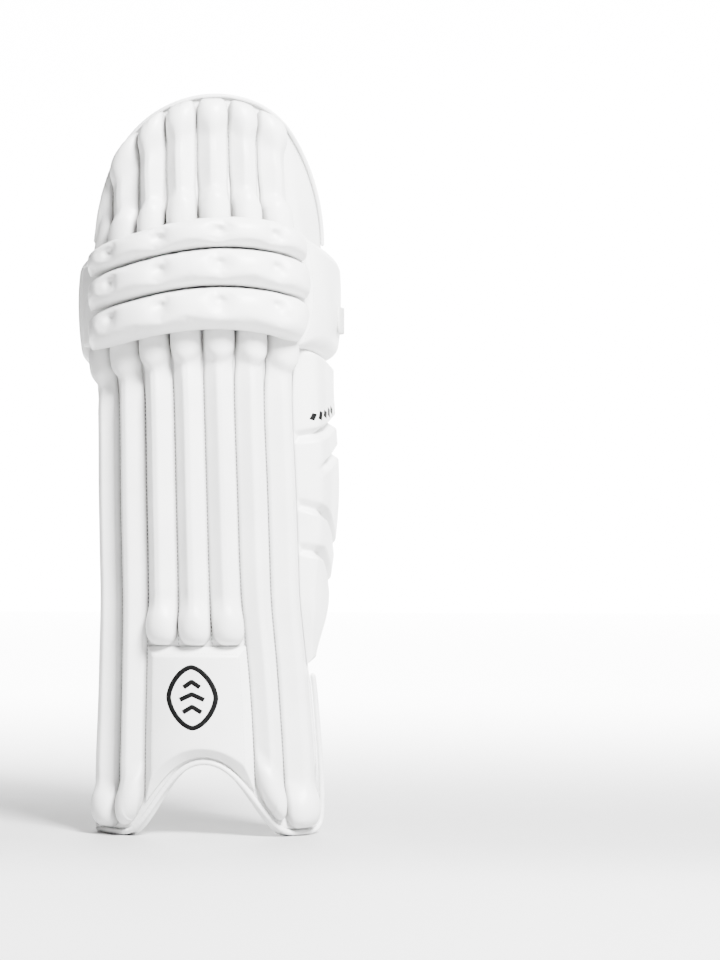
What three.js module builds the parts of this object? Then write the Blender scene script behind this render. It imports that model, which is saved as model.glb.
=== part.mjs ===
// A cricket batting pad: a leg guard of white leather over foam, standing on its lower edge.
// Millimetres, +Z up. The front faces -Y, and the leg goes inside, on the +Y side.
//
// The pad is laid out flat and then wrapped. A place on it is given by s, the distance round the
// outer face from the middle of the fourth roll (positive to the right, seen from the front), by
// its height z, and by how far it stands proud of that face.
import * as THREE from 'three';

// Overall sizes
const padHeight = 692;
const rollPitch = 30.5; // width of one upright roll, seam to seam, where the spread is 1
const rollsAcross = 7;
const rollTurn = THREE.MathUtils.degToRad(15); // how far the section turns across one roll
const sideLean = 15; // how far the middle line moves to the left from the foot to the top
const profileDepth = 16; // how far the front line leaves the upright, seen from the side
const gap = 0.5; // clearance between pieces that lie on each other
const seam = 0.35; // half of the clearance between pieces side by side

// The wrapped section
const leftCornerRadius = 24;
const rightCornerRadius = 70;
const leftTurn = THREE.MathUtils.degToRad(86);
const rightTurn = THREE.MathUtils.degToRad(84);
const flankReach = 44; // how far the left side runs past the last roll at the knee
const wingReach = 84; // how far the right side runs past the last roll at the calf

// Backing
const backingThickness = 18;
const wingBackingThickness = 9;
const edgeInset = 8.5; // the front of the bound edge is cut back this far for the binding
const edgeDepth = 7.5;
const footCorner = { left: 14, right: 20 };
const archHeight = 68;
const archHalfWidth = 82;
const archShift = 4; // the arch lies this far to the right of the middle line
const backingJoint = 535; // height of the joint between shin backing and flap backing, behind the knee roll

// Top flap
const flapCentre = 31; // the flap's outline is half an ellipse round this s
const flapHalfWidth = 145;
const flapRise = 187;
const flapThickness = 14;
const flapRimThickness = 7;

// Upright rolls
const rollRise = 12;
const knuckleRise = 16.5;
const knuckleLength = 36;
const footKnuckleLength = 46;
const rollEdgeRise = 1.6;
const rollMargin = 7; // from the pad's lower edge to the end of a roll
const flapMargin = 5;
const ridgeFrom = 0.38; // the flat top of a roll starts and ends at these shares of its width
const ridgeTo = 0.58;

// Knee roll
const kneeBottom = 469.5;
const kneeTop = 575;
const kneeTuck = 9; // the upright rolls' ends go this far under the knee roll
const kneeBaseRise = 16;
const bolsterRise = 25;
const kneeReach = 3.5; // rolls that the knee roll covers to the right of the middle, and
const kneeReachLeft = 3; // to the left
const kneeLowDroop = 11.9; // how far the knee roll's lower line falls away to the sides
const kneeHighDroop = 17.5;
const tuftDepth = 4.5;
const tuftRadius = 8;

// Instep panel
const instepTop = 177;
const instepRise = 9.5;
const instepBevel = 9;

// Wings
const kneeWingRise = 21;
const kneeFlankRise = 12;
const calfWingRise = 12;
const calfWingSwell = 0.8; // the wing's middle is this much fuller than its ends
const calfWingFoot = 158;
const grooveDepth = 8;

// Bindings and straps
const footBindingRadius = 2.6;
const topBindingRadius = 1.8;
const strapWidth = 25;
const strapThickness = 2.4;

// Height and front are shares of padHeight and profileDepth, spread of rollPitch, lean of
// sideLean, turn of rightTurn, and left and right of flankReach and wingReach.
const sections = [
  { height: 0.0, spread: 1.09, lean: -0.1, front: -0.9, turn: 0.95, left: 0.55, right: 0.17 },
  { height: 0.08, spread: 1.09, lean: 0.0, front: -0.5, turn: 0.95, left: 0.55, right: 0.17 },
  { height: 0.2, spread: 1.04, lean: 0.15, front: -0.12, turn: 1.0, left: 0.55, right: 0.17 },
  { height: 0.235, spread: 1.025, lean: 0.2, front: -0.06, turn: 1.0, left: 0.55, right: 0.15 },
  { height: 0.315, spread: 0.985, lean: 0.33, front: 0.0, turn: 1.0, left: 0.55, right: 0.5 },
  { height: 0.38, spread: 0.98, lean: 0.42, front: 0.1, turn: 1.0, left: 0.55, right: 0.75 },
  { height: 0.46, spread: 0.975, lean: 0.53, front: 0.2, turn: 1.0, left: 0.55, right: 0.97 },
  { height: 0.587, spread: 0.96, lean: 0.7, front: 0.35, turn: 1.0, left: 0.6, right: 1.0 },
  { height: 0.66, spread: 1.0, lean: 0.83, front: 0.45, turn: 0.98, left: 0.9, right: 1.0 },
  { height: 0.74, spread: 1.01, lean: 0.9, front: 0.5, turn: 0.95, left: 1.0, right: 1.0 },
  { height: 0.83, spread: 0.97, lean: 1.0, front: 0.6, turn: 0.8, left: 1.0, right: 0.95 },
  { height: 0.9, spread: 0.94, lean: 1.1, front: 0.75, turn: 0.72, left: 0.9, right: 0.9 },
  { height: 1.0, spread: 0.92, lean: 1.15, front: 1.1, turn: 0.7, left: 0.9, right: 0.9 },
];

// A roll's free end, from its tip: from is a share of the knuckle's length, rise of
// knuckleRise, width of the roll's width, and facet how far the section has become a ridge.
const footKnuckle = [
  { from: 0.0, rise: 0.3, width: 0.42, facet: 0 },
  { from: 0.08, rise: 0.66, width: 0.7, facet: 0 },
  { from: 0.22, rise: 0.9, width: 0.93, facet: 0 },
  { from: 0.42, rise: 1.0, width: 1.0, facet: 0 },
  { from: 0.7, rise: 0.88, width: 1.0, facet: 0.35 },
  { from: 1.0, rise: 0.7, width: 1.0, facet: 0.9 },
];
const topKnuckle = [
  { from: 0.0, rise: 0.3, width: 0.74, facet: 0 },
  { from: 0.1, rise: 0.7, width: 0.9, facet: 0 },
  { from: 0.28, rise: 0.92, width: 1.0, facet: 0 },
  { from: 0.5, rise: 0.98, width: 1.0, facet: 0 },
  { from: 0.75, rise: 0.84, width: 1.0, facet: 0.35 },
  { from: 1.0, rise: 0.7, width: 1.0, facet: 0.9 },
];
const kneeKnuckle = [
  { from: 0.0, rise: 0.8, width: 0.94, facet: 0 },
  { from: 0.3, rise: 1.0, width: 1.0, facet: 0 },
  { from: 0.62, rise: 0.97, width: 1.0, facet: 0 },
  { from: 0.85, rise: 0.76, width: 0.95, facet: 0.3 },
  { from: 1.0, rise: 0.68, width: 0.97, facet: 0.9 },
];

// Grooves across the calf wing, from its seam to a bend and on to its back edge. Heights are
// shares of padHeight and depths of grooveDepth.
const grooveBend = 0.35;
const calfGrooves = [
  { seamHeight: 0.385, midHeight: 0.378, backHeight: 0.325, seamDepth: 0.55, backDepth: 1.0 },
  { seamHeight: 0.446, midHeight: 0.431, backHeight: 0.375, seamDepth: 0.55, backDepth: 1.0 },
  { seamHeight: 0.485, midHeight: 0.5, backHeight: 0.522, seamDepth: 0.0, backDepth: 0.9 },
  { seamHeight: 0.536, midHeight: 0.546, backHeight: 0.563, seamDepth: 0.7, backDepth: 1.0 },
];

// Smooth reading of a table: a cubic through the rows, with slopes from their neighbours.
function readTable(table, key, at, column) {
  const last = table.length - 1;
  if (at <= table[0][key]) return table[0][column];
  if (at >= table[last][key]) return table[last][column];
  let row = 0;
  while (table[row + 1][key] < at) row += 1;
  const slopeAt = (i) => {
    if (i === 0 || i === last) return 0;
    return (table[i + 1][column] - table[i - 1][column]) / (table[i + 1][key] - table[i - 1][key]);
  };
  const width = table[row + 1][key] - table[row][key];
  const u = (at - table[row][key]) / width;
  const low = table[row][column] * (1 + 2 * u) * (1 - u) ** 2 + slopeAt(row) * width * u * (1 - u) ** 2;
  const high = table[row + 1][column] * u * u * (3 - 2 * u) - slopeAt(row + 1) * width * u * u * (1 - u);
  return low + high;
}

const { clamp, lerp, smoothstep } = THREE.MathUtils;
const section = (z, column) => readTable(sections, 'height', z / padHeight, column);
const pitchAt = (z) => rollPitch * section(z, 'spread');
const rollsEdge = (z) => (rollsAcross / 2) * pitchAt(z);
const leftEdge = (z) => -rollsEdge(z) - flankReach * section(z, 'left');
const rightEdge = (z) => rollsEdge(z) + wingReach * section(z, 'right');

// The wrapped section: a front arc under the rolls, a corner arc, then a straight run back.
function shellPoint(s, z, proud = 0) {
  const side = s < 0 ? -1 : 1;
  const frontRadius = pitchAt(z) / rollTurn;
  const frontTurn = (rollsAcross / 2) * rollTurn;
  const cornerRadius = side < 0 ? leftCornerRadius : rightCornerRadius;
  const fullTurn = Math.max(frontTurn, side < 0 ? leftTurn : rightTurn * section(z, 'turn'));
  const onFront = Math.min(Math.abs(s), frontRadius * frontTurn);
  const onCorner = Math.min(Math.abs(s) - onFront, cornerRadius * (fullTurn - frontTurn));
  const onRun = Math.abs(s) - onFront - onCorner;
  const turnA = onFront / frontRadius;
  const turnB = turnA + onCorner / cornerRadius;
  const x = frontRadius * Math.sin(turnA) + cornerRadius * (Math.sin(turnB) - Math.sin(turnA))
    + onRun * Math.cos(turnB) + proud * Math.sin(turnB);
  const y = frontRadius * (1 - Math.cos(turnA)) + cornerRadius * (Math.cos(turnA) - Math.cos(turnB))
    + onRun * Math.sin(turnB) - proud * Math.cos(turnB);
  const lean = -sideLean * section(z, 'lean');
  return new THREE.Vector3(side * x + lean, y + profileDepth * section(z, 'front'), z);
}

// Height of the pad's lower edge: the arch over the instep between two flat feet with round corners.
function footLine(s) {
  const across = Math.min(1, Math.abs(s - archShift) / archHalfWidth);
  const arch = archHeight * 0.5 * (1 + Math.cos(Math.PI * across ** 1.1));
  const toSide = Math.min(s - leftEdge(0), rightEdge(0) - s);
  const radius = s < 0 ? footCorner.left : footCorner.right;
  const inCorner = clamp(1 - toSide / radius, 0, 1);
  return arch + radius * (1 - Math.sqrt(1 - inCorner ** 2));
}

// Height of the top flap's outline, half an ellipse over the knee, or of a line inside it.
function flapLine(s, inset = 0) {
  const across = clamp((s - flapCentre) / (flapHalfWidth - inset), -1, 1);
  return padHeight - flapRise + (flapRise - inset) * Math.sqrt(1 - across ** 2);
}

// The knee roll's two lines fall away to both sides of their highest places, as a cosine does.
const kneeLow = (s) => kneeBottom - kneeLowDroop * (1 - Math.cos(0.62 * (s / rollPitch - 0.85)));
const kneeHigh = (s) => kneeTop - kneeHighDroop * (1 - Math.cos(0.55 * (s / rollPitch - 1.28)));

// One closed solid from numbered points and triangles, turned so that its faces point out.
class Solid {
  constructor() {
    this.points = [];
    this.faces = [];
  }

  add(point) {
    this.points.push(point);
    return this.points.length - 1;
  }

  triangle(a, b, c) {
    this.faces.push([a, b, c]);
  }

  quad(a, b, c, d) {
    this.triangle(a, b, c);
    this.triangle(a, c, d);
  }

  volume() {
    const cross = new THREE.Vector3();
    return this.faces.reduce((sum, [a, b, c]) => (
      sum + cross.crossVectors(this.points[a], this.points[b]).dot(this.points[c]) / 6), 0);
  }

  geometry() {
    const inward = this.volume() < 0;
    const index = this.faces.flatMap(([a, b, c]) => (inward ? [a, c, b] : [a, b, c]));
    const geometry = new THREE.BufferGeometry().setFromPoints(this.points);
    geometry.setIndex(index);
    geometry.computeVertexNormals();
    return geometry;
  }
}

// A solid through closed sections with equally many points. A cap fans out from its hub point.
function loft(rings, hub = 0) {
  const solid = new Solid();
  const ids = rings.map((ring) => ring.map((point) => solid.add(point)));
  const around = rings[0].length;
  for (let r = 0; r + 1 < ids.length; r += 1) {
    for (let i = 0; i < around; i += 1) {
      const j = (i + 1) % around;
      solid.quad(ids[r][i], ids[r][j], ids[r + 1][j], ids[r + 1][i]);
    }
  }
  for (let i = 1; i + 1 < around; i += 1) {
    const a = (hub + i) % around;
    const b = (hub + i + 1) % around;
    solid.triangle(ids[0][hub], ids[0][b], ids[0][a]);
    const end = ids[ids.length - 1];
    solid.triangle(end[hub], end[a], end[b]);
  }
  return solid.geometry();
}

// The border of a grid of points, in order round it.
function borderOf(grid) {
  const last = grid.length - 1;
  const right = grid[0].length - 1;
  return [
    ...grid[0],
    ...grid.slice(1, last).map((row) => row[right]),
    ...[...grid[last]].reverse(),
    ...grid.slice(1, last).map((row) => row[0]).reverse(),
  ];
}

// A sheet with a front and a back grid, joined round the border through any rim loops.
function slab(front, back, rims = []) {
  const solid = new Solid();
  const number = (grid) => grid.map((row) => row.map((point) => solid.add(point)));
  const frontIds = number(front);
  const backIds = number(back);
  for (let r = 0; r + 1 < front.length; r += 1) {
    for (let c = 0; c + 1 < front[0].length; c += 1) {
      solid.quad(frontIds[r][c], frontIds[r][c + 1], frontIds[r + 1][c + 1], frontIds[r + 1][c]);
      solid.quad(backIds[r][c], backIds[r + 1][c], backIds[r + 1][c + 1], backIds[r][c + 1]);
    }
  }
  const loops = [borderOf(frontIds), ...rims.map((rim) => rim.map((point) => solid.add(point))), borderOf(backIds)];
  for (let k = 0; k + 1 < loops.length; k += 1) {
    loops[k].forEach((id, i) => {
      const next = (i + 1) % loops[k].length;
      solid.quad(loops[k][next], id, loops[k + 1][i], loops[k + 1][next]);
    });
  }
  return solid.geometry();
}

const range = (from, to, steps) => Array.from({ length: steps + 1 }, (_, i) => lerp(from, to, i / steps));

const group = new THREE.Group();

// Colours are those of white leather, its darker seams and white webbing.
const leather = { color: 0xf1f1ef, roughness: 0.48, metalness: 0 };
const lining = { color: 0xe4e4e1, roughness: 0.75, metalness: 0 };
const binding = { color: 0xececea, roughness: 0.42, metalness: 0 };
const webbing = { color: 0xe9e9e6, roughness: 0.85, metalness: 0 };

function addPiece(name, geometry, look) {
  const mesh = new THREE.Mesh(geometry, new THREE.MeshStandardMaterial(look));
  mesh.name = name;
  group.add(mesh);
}

// The backing is thick behind the rolls and thins towards its sides and its foot.
function backingDepth(s, z, full, rim) {
  const past = Math.abs(s) - rollsEdge(z);
  const thinner = Math.max(smoothstep(past, -pitchAt(z) / 2, pitchAt(z)), 0.6 * (1 - smoothstep(z - footLine(s), 0, 50)));
  return lerp(full, rim, thinner);
}

// The backing's columns: left flank, rolls, right flank. Within a flank a share runs outward.
const columns = [
  ...range(1, 0, 5).slice(0, -1).map((share) => ({ zone: 'left', share })),
  ...range(-rollsAcross / 2, rollsAcross / 2, 3 * rollsAcross).map((share) => ({ zone: 'rolls', share })),
  ...range(0, 1, 6).slice(1).map((share) => ({ zone: 'right', share })),
];

function columnAt({ zone, share }, z) {
  if (zone === 'left') return lerp(-rollsEdge(z), leftEdge(z), share);
  if (zone === 'right') return lerp(rollsEdge(z), rightEdge(z), share);
  return share * pitchAt(z);
}

const stations = columns.map((column) => columnAt(column, 0));

// The bound edge runs down the left side, along the foot and up the right side. Its inward
// direction at a foot station follows from the slope of the foot line.
function inwardAt(station) {
  const slope = clamp(footLine(station + 0.5) - footLine(station - 0.5), -6, 6);
  return new THREE.Vector2(-slope, 1).normalize();
}

const boundTop = { left: kneeBottom - 40, right: calfWingFoot - 9 };
const sideInset = (z, top) => edgeInset * smoothstep(top + 36 - z, 0, 30);

// Shin backing: one padded sheet from the arch to behind the knee roll, with flat feet. The
// front of its bound edge is cut back for the binding.
const backingRows = [0, 0.045, 0.085, 0.13, 0.19, 0.25, 0.31, 0.36, 0.41, 0.47, 0.54, 0.62, 0.7, 0.78, 0.86, 0.93, 1];

function backingPlace(c, row, inset) {
  const station = stations[c];
  const inward = inwardAt(station);
  const lift = inset && row === 0 ? edgeInset : 0;
  if (row === 0) return { s: station + inward.x * lift, z: footLine(station) + inward.y * lift };
  const z = lerp(footLine(station), backingJoint, row);
  const s = columnAt(columns[c], z);
  if (!inset) return { s, z };
  const drawnIn = s < 0
    ? s * (1 + sideInset(z, boundTop.left) / leftEdge(z))
    : s * (1 - sideInset(z, boundTop.right) / rightEdge(z));
  return { s: drawnIn, z };
}

function shinBacking() {
  const sheet = (depthOf, inset) => backingRows.map((row) => stations.map((_, c) => {
    const { s, z } = backingPlace(c, row, inset);
    return shellPoint(s, z, -depthOf(s, z));
  }));
  const depth = (s, z) => backingDepth(s, z, backingThickness, wingBackingThickness);
  const front = sheet(() => 0, true);
  const rim = sheet((s, z) => Math.min(edgeDepth, depth(s, z) * 0.85), false);
  const back = sheet(depth, false);
  return slab(front, back, [borderOf(rim)]);
}

// Flap backing: the upper sheet, whose outline is the flap's ellipse.
const flapReachShare = 0.975; // the outline is used this far towards the ellipse's ends
const flapStations = range(-1, 1, 18).map((share) => (
  flapCentre + flapHalfWidth * flapReachShare * Math.sin((share * Math.PI) / 2)));
const flapRows = [0, 0.2, 0.4, 0.6, 0.8, 0.93, 1];

function flapBacking() {
  const place = (depthOf) => flapRows.map((row) => flapStations.map((s) => {
    const z = lerp(backingJoint + 2 * seam, flapLine(s), row);
    return shellPoint(s, z, -depthOf(s, z, row));
  }));
  const full = (s, z, row) => {
    const inset = Math.min(1, (flapLine(s) - z) / 30) * Math.min(1, (1 - row) * 8);
    return lerp(flapRimThickness, backingDepth(s, z, flapThickness, flapRimThickness), inset);
  };
  const front = place(() => 0);
  const back = place(full);
  return slab(front, back);
}

// A roll's height over the backing, across its width: a dome at the knuckles, a ridge between.
function rollHeight(w, rise, facet) {
  const dome = Math.sqrt(Math.max(0, 1 - (2 * w - 1) ** 2));
  const ridge = Math.min(1, w / ridgeFrom, (1 - w) / (1 - ridgeTo));
  return rollEdgeRise + (rise - rollEdgeRise) * lerp(dome, ridge, facet);
}

const rollAcross = [0, 0.12, ridgeFrom, ridgeTo, 0.88, 1];

// One upright roll. low and high give the heights of its ends at s, and the tables their shapes.
function uprightRoll(index, low, high, lowEnd, lowLength, highEnd, highLength, fullness = 1) {
  const middle = index * rollPitch;
  const length = high(middle) - low(middle);
  const lowShare = Math.min(lowLength / length, 0.42);
  const highShare = Math.min(highLength / length, 0.42);
  const rows = [
    ...lowEnd.map((end) => ({ along: end.from * lowShare, ...end })),
    ...range(lowShare, 1 - highShare, 5).slice(1, -1).map((along) => (
      { along, rise: rollRise / knuckleRise, width: 1, facet: 1 })),
    ...[...highEnd].reverse().map((end) => ({ along: 1 - end.from * highShare, ...end })),
  ];
  const rings = rows.map(({ along, rise, width, facet }) => {
    const place = (w, proud) => {
      const share = index + (w - 0.5) * width;
      const flat = share * rollPitch;
      const z = lerp(low(flat), high(flat), along);
      const s = share * pitchAt(z) - Math.sign(w - 0.5) * seam;
      return shellPoint(s, z, proud);
    };
    const tops = rollAcross.map((w) => place(w, gap + rollHeight(w, rise * knuckleRise * fullness, facet)));
    return [place(0, gap), ...tops, place(1, gap), place(0.5, gap)];
  });
  return loft(rings, rings[0].length - 1);
}

const rollIndices = Array.from({ length: rollsAcross }, (_, i) => i - (rollsAcross - 1) / 2);
const underKnee = (s) => kneeLow(s) + kneeTuck - seam;
const overKnee = (s) => kneeHigh(s) - kneeTuck + seam;
const instepRolls = 1; // this many rolls each side of the middle one stop above the instep panel

function shinRolls() {
  rollIndices.forEach((index, i) => {
    const stopsShort = Math.abs(index) <= instepRolls;
    const foot = stopsShort ? () => instepTop + 2 * seam : (s) => footLine(s) + rollMargin;
    addPiece(`shin_roll_${i + 1}`, uprightRoll(index, foot, underKnee,
      footKnuckle, footKnuckleLength, kneeKnuckle, knuckleLength), leather);
  });
}

function flapRolls() {
  rollIndices.forEach((index, i) => {
    const top = (flat) => {
      const share = flat / rollPitch;
      const near = flapLine(share * pitchAt(padHeight), flapMargin);
      return flapLine(share * pitchAt(near), flapMargin);
    };
    const fullness = i === 0 ? 0.6 : 1;
    addPiece(`flap_roll_${i + 1}`, uprightRoll(index, overKnee, top,
      kneeKnuckle, knuckleLength, topKnuckle, knuckleLength, fullness), leather);
  });
}

// Knee roll: a base panel that carries three level bolsters, each pulled in by tufts.
const kneeFrom = -kneeReachLeft * rollPitch;
const kneeTo = kneeReach * rollPitch;
const tufts = [-1.8, -0.4, 1.0, 2.4].map((share) => share * rollPitch);
const bolsterShares = [0, 0.383, 0.722, 1]; // where the bolsters' joints lie, from the bottom up

function kneeStations() {
  const ends = [0, 0.03, 0.08];
  const even = range(ends[2], 1 - ends[2], 10);
  const shares = [...ends.slice(0, 2), ...even, ...ends.slice(0, 2).map((end) => 1 - end).reverse()];
  const plain = shares.map((share) => lerp(kneeFrom, kneeTo, share));
  const clear = plain.filter((s) => tufts.every((tuft) => Math.abs(s - tuft) > tuftRadius * 1.1));
  const pinched = tufts.flatMap((tuft) => [tuft - tuftRadius, tuft, tuft + tuftRadius]);
  return [...clear, ...pinched].sort((a, b) => a - b);
}

function bolster(number) {
  const rings = kneeStations().map((s) => {
    const fromLeft = clamp((s - kneeFrom) / (1.25 * rollPitch), 0, 1);
    const fromRight = clamp((kneeTo - s) / (0.9 * rollPitch), 0, 1);
    const swell = lerp(0.1, 1, Math.min(Math.sin((fromLeft * Math.PI) / 2) ** 0.8,
      Math.sin((fromRight * Math.PI) / 2) ** 0.6));
    const low = lerp(kneeLow(s), kneeHigh(s), bolsterShares[number]);
    const high = lerp(kneeLow(s), kneeHigh(s), bolsterShares[number + 1]);
    const half = ((high - low) / 2 - seam) * lerp(0.78, 1, swell);
    const tuft = tufts.some((place) => Math.abs(s - place) < 1) ? tuftDepth : 0;
    return [-90, -70, -44, -15, 15, 44, 70, 90].map((degrees) => {
      const angle = THREE.MathUtils.degToRad(degrees);
      const dent = Math.abs(degrees) < 20 ? tuft : 0;
      const rise = bolsterRise * swell * Math.cos(angle) ** 0.7 - dent;
      const up = half * Math.sign(angle) * Math.abs(Math.sin(angle)) ** 0.8;
      return shellPoint(s, (low + high) / 2 + up, kneeBaseRise + gap + rise);
    });
  });
  return loft(rings);
}

function kneeBase() {
  const rings = range(-rollsAcross / 2, rollsAcross / 2, 21).map((share) => {
    const s = share * pitchAt(kneeBottom);
    const low = kneeLow(s) + kneeTuck + seam;
    const high = kneeHigh(s) - kneeTuck - seam;
    const middle = (low + high) / 2;
    const back = gap * 2;
    return [[low, back], [low, kneeBaseRise], [high, kneeBaseRise], [high, back], [middle, back]]
      .map(([z, proud]) => shellPoint(s, z, proud));
  });
  return loft(rings, 4);
}

// A puffed panel over the backing between two edges in s, with rounded corners at its far end.
function puffedPanel(nearEdge, farEdge, low, high, rise, edgeRise) {
  const acrossShares = [0, 0.07, 0.24, 0.42, 0.6, 0.78, 0.93, 1];
  const upShares = [0, 0.08, 0.26, 0.5, 0.74, 0.92, 1];
  const cornerShare = 0.3;
  const place = (across, up) => {
    const inCorner = clamp((across - (1 - cornerShare)) / cornerShare, 0, 1);
    const draw = 0.16 * (1 - Math.sqrt(1 - inCorner ** 2));
    const middle = lerp(nearEdge, farEdge, across);
    return { s: middle, z: lerp(low(middle), high(middle), lerp(draw, 1 - draw, up)) };
  };
  const puff = (share) => 1 - Math.abs(2 * share - 1) ** 3;
  const front = upShares.map((up) => acrossShares.map((across) => {
    const { s, z } = place(across, up);
    const nearRise = across < 0.5 ? rise * 0.66 : edgeRise;
    const sideways = lerp(nearRise, rise, puff(across) ** 0.5);
    return shellPoint(s, z, gap + lerp(edgeRise, sideways, puff(up) ** 0.5));
  }));
  const back = upShares.map((up) => acrossShares.map((across) => {
    const { s, z } = place(across, up);
    return shellPoint(s, z, gap * 2.5);
  }));
  return slab(front, back);
}

function kneeWing() {
  const reach = rollsEdge(kneeBottom) + wingReach;
  const low = (s) => kneeLow(kneeTo) - 0.2 * (s - kneeTo) + seam;
  const high = (s) => kneeHigh(kneeTo) - 0.24 * (s - kneeTo) - seam;
  return puffedPanel(kneeTo + 2 * seam + 1, reach, low, high, kneeWingRise, 5);
}

function kneeFlank() {
  const reach = -rollsEdge(kneeBottom) - flankReach;
  const near = -rollsEdge(kneeBottom + 40) - 2;
  const low = (s) => kneeLow(kneeFrom) - 6 + 0.1 * (s - kneeFrom);
  const high = (s) => kneeHigh(kneeFrom) + 0.1 * (s - kneeFrom);
  return puffedPanel(near, reach, low, high, kneeFlankRise, 4);
}

// Calf wing: one moulded panel, crossed by grooves that part it into pads.
function calfWing() {
  const acrossShares = [0, 0.07, 0.2, grooveBend, 0.5, 0.66, 0.82, 0.94, 1];
  const footHeight = (across) => calfWingFoot + 6 * across;
  const topHeight = (across) => {
    const s = lerp(rollsEdge(kneeBottom), rightEdge(kneeBottom), across);
    return kneeLow(Math.min(s, kneeTo)) - 0.2 * Math.max(0, s - kneeTo) - seam;
  };
  const grooveHeight = (groove, across) => padHeight * (across < grooveBend
    ? lerp(groove.seamHeight, groove.midHeight, across / grooveBend)
    : lerp(groove.midHeight, groove.backHeight, (across - grooveBend) / (1 - grooveBend)));
  const lines = [footHeight, ...calfGrooves.map((groove) => (across) => grooveHeight(groove, across)), topHeight];
  const depths = [() => 0, ...calfGrooves.map((groove) => (across) => (
    grooveDepth * lerp(groove.seamDepth, groove.backDepth, smoothstep(across, 0.1, 0.45)))), () => 0];
  const shoulder = 7; // distance from a groove's bottom to the face beside it
  const rows = [];
  for (let pad = 0; pad + 1 < lines.length; pad += 1) {
    rows.push({ line: lines[pad], shift: 0, depth: depths[pad] });
    rows.push({ line: lines[pad], shift: shoulder, depth: () => 0 });
    rows.push({ line: lines[pad + 1], shift: -shoulder, depth: () => 0 });
  }
  rows.push({ line: lines[lines.length - 1], shift: 0, depth: () => 0 });
  const place = (row, across) => {
    const z = row.line(across) + row.shift;
    return { s: lerp(rollsEdge(z) + seam + 0.3, rightEdge(z) - 1, across), z };
  };
  const bulge = (across) => smoothstep(across, -0.05, 0.22) * (1 - 0.55 * smoothstep(across, 0.86, 1));
  const swell = (z) => lerp(0.3, 1, smoothstep(z, calfWingFoot, calfWingFoot + 60))
    + calfWingSwell * Math.sin(Math.PI * clamp((z - 230) / 240, 0, 1));
  const front = rows.map((row) => acrossShares.map((across) => {
    const { s, z } = place(row, across);
    const rise = 3 + (calfWingRise - 3) * bulge(across) * swell(z);
    return shellPoint(s, z, gap + Math.max(2.5, rise - row.depth(across)));
  }));
  const back = rows.map((row) => acrossShares.map((across) => {
    const { s, z } = place(row, across);
    return shellPoint(s, z, gap * 2.4);
  }));
  return slab(front, back);
}

// Instep panel: flat between bevels, with its lower edge along the arch.
function instepPanel() {
  const half = instepRolls + 0.5;
  const bevelShare = instepBevel / ((2 * instepRolls + 1) * rollPitch);
  const acrossShares = [0, bevelShare, 0.2, 0.35, 0.5, 0.65, 0.8, 1 - bevelShare, 1];
  const upShares = [0, 0.16, 0.4, 0.65, 1 - instepBevel / (instepTop - archHeight), 1];
  const place = (across, up) => {
    const share = lerp(-half, half, across);
    const z = lerp(footLine(share * rollPitch) + rollMargin, instepTop - seam, up);
    return { s: share * pitchAt(z) - Math.sign(across - 0.5) * seam, z };
  };
  const front = upShares.map((up, r) => acrossShares.map((across, c) => {
    const { s, z } = place(across, up);
    const onBorder = r === 0 || r === upShares.length - 1 || c === 0 || c === acrossShares.length - 1;
    return shellPoint(s, z, gap + (onBorder ? 2.2 : instepRise));
  }));
  const back = upShares.map((up) => acrossShares.map((across) => {
    const { s, z } = place(across, up);
    return shellPoint(s, z, gap);
  }));
  return slab(front, back);
}

// A binding is a cord of leather along an edge. Each station gives s and z of its middle and
// how far that middle stands proud.
function bindingCord(stationList, radius) {
  const sides = 6;
  const rings = stationList.map((here, i) => {
    const before = stationList[Math.max(0, i - 1)];
    const after = stationList[Math.min(stationList.length - 1, i + 1)];
    const along = new THREE.Vector2(after.s - before.s, after.z - before.z).normalize();
    return Array.from({ length: sides }, (_, k) => {
      const angle = ((k + 0.5) / sides) * 2 * Math.PI;
      const across = radius * Math.cos(angle);
      return shellPoint(here.s - along.y * across, here.z + along.x * across, here.proud + radius * Math.sin(angle));
    });
  });
  return loft(rings);
}

// The bound edge, as places with the inward direction at each.
function boundEdge() {
  const sidePlaces = (from, to, steps, edge, x) => range(from, to, steps).map((z) => (
    { s: edge(z), z, inward: new THREE.Vector2(x, 0) }));
  return [
    ...sidePlaces(boundTop.left, footCorner.left + 14, 7, leftEdge, 1),
    ...stations.map((s) => ({ s, z: footLine(s), inward: inwardAt(s) })),
    ...sidePlaces(footCorner.right + 14, boundTop.right, 4, rightEdge, -1),
  ];
}

function bindings() {
  const inset = footBindingRadius + 0.3;
  const foot = boundEdge().map(({ s, z, inward }) => (
    { s: s + inward.x * inset, z: z + inward.y * inset, proud: 0 }));
  addPiece('foot_binding', bindingCord(foot, footBindingRadius), binding);
  const rimInset = topBindingRadius + 0.6;
  const shrink = (flapHalfWidth - rimInset) / flapHalfWidth;
  const rim = flapStations.slice(1, -1).map((s) => lerp(flapCentre, s, shrink)).map((s) => (
    { s, z: flapLine(s, rimInset), proud: topBindingRadius + gap }));
  addPiece('top_binding', bindingCord(rim, topBindingRadius), binding);
}

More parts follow.
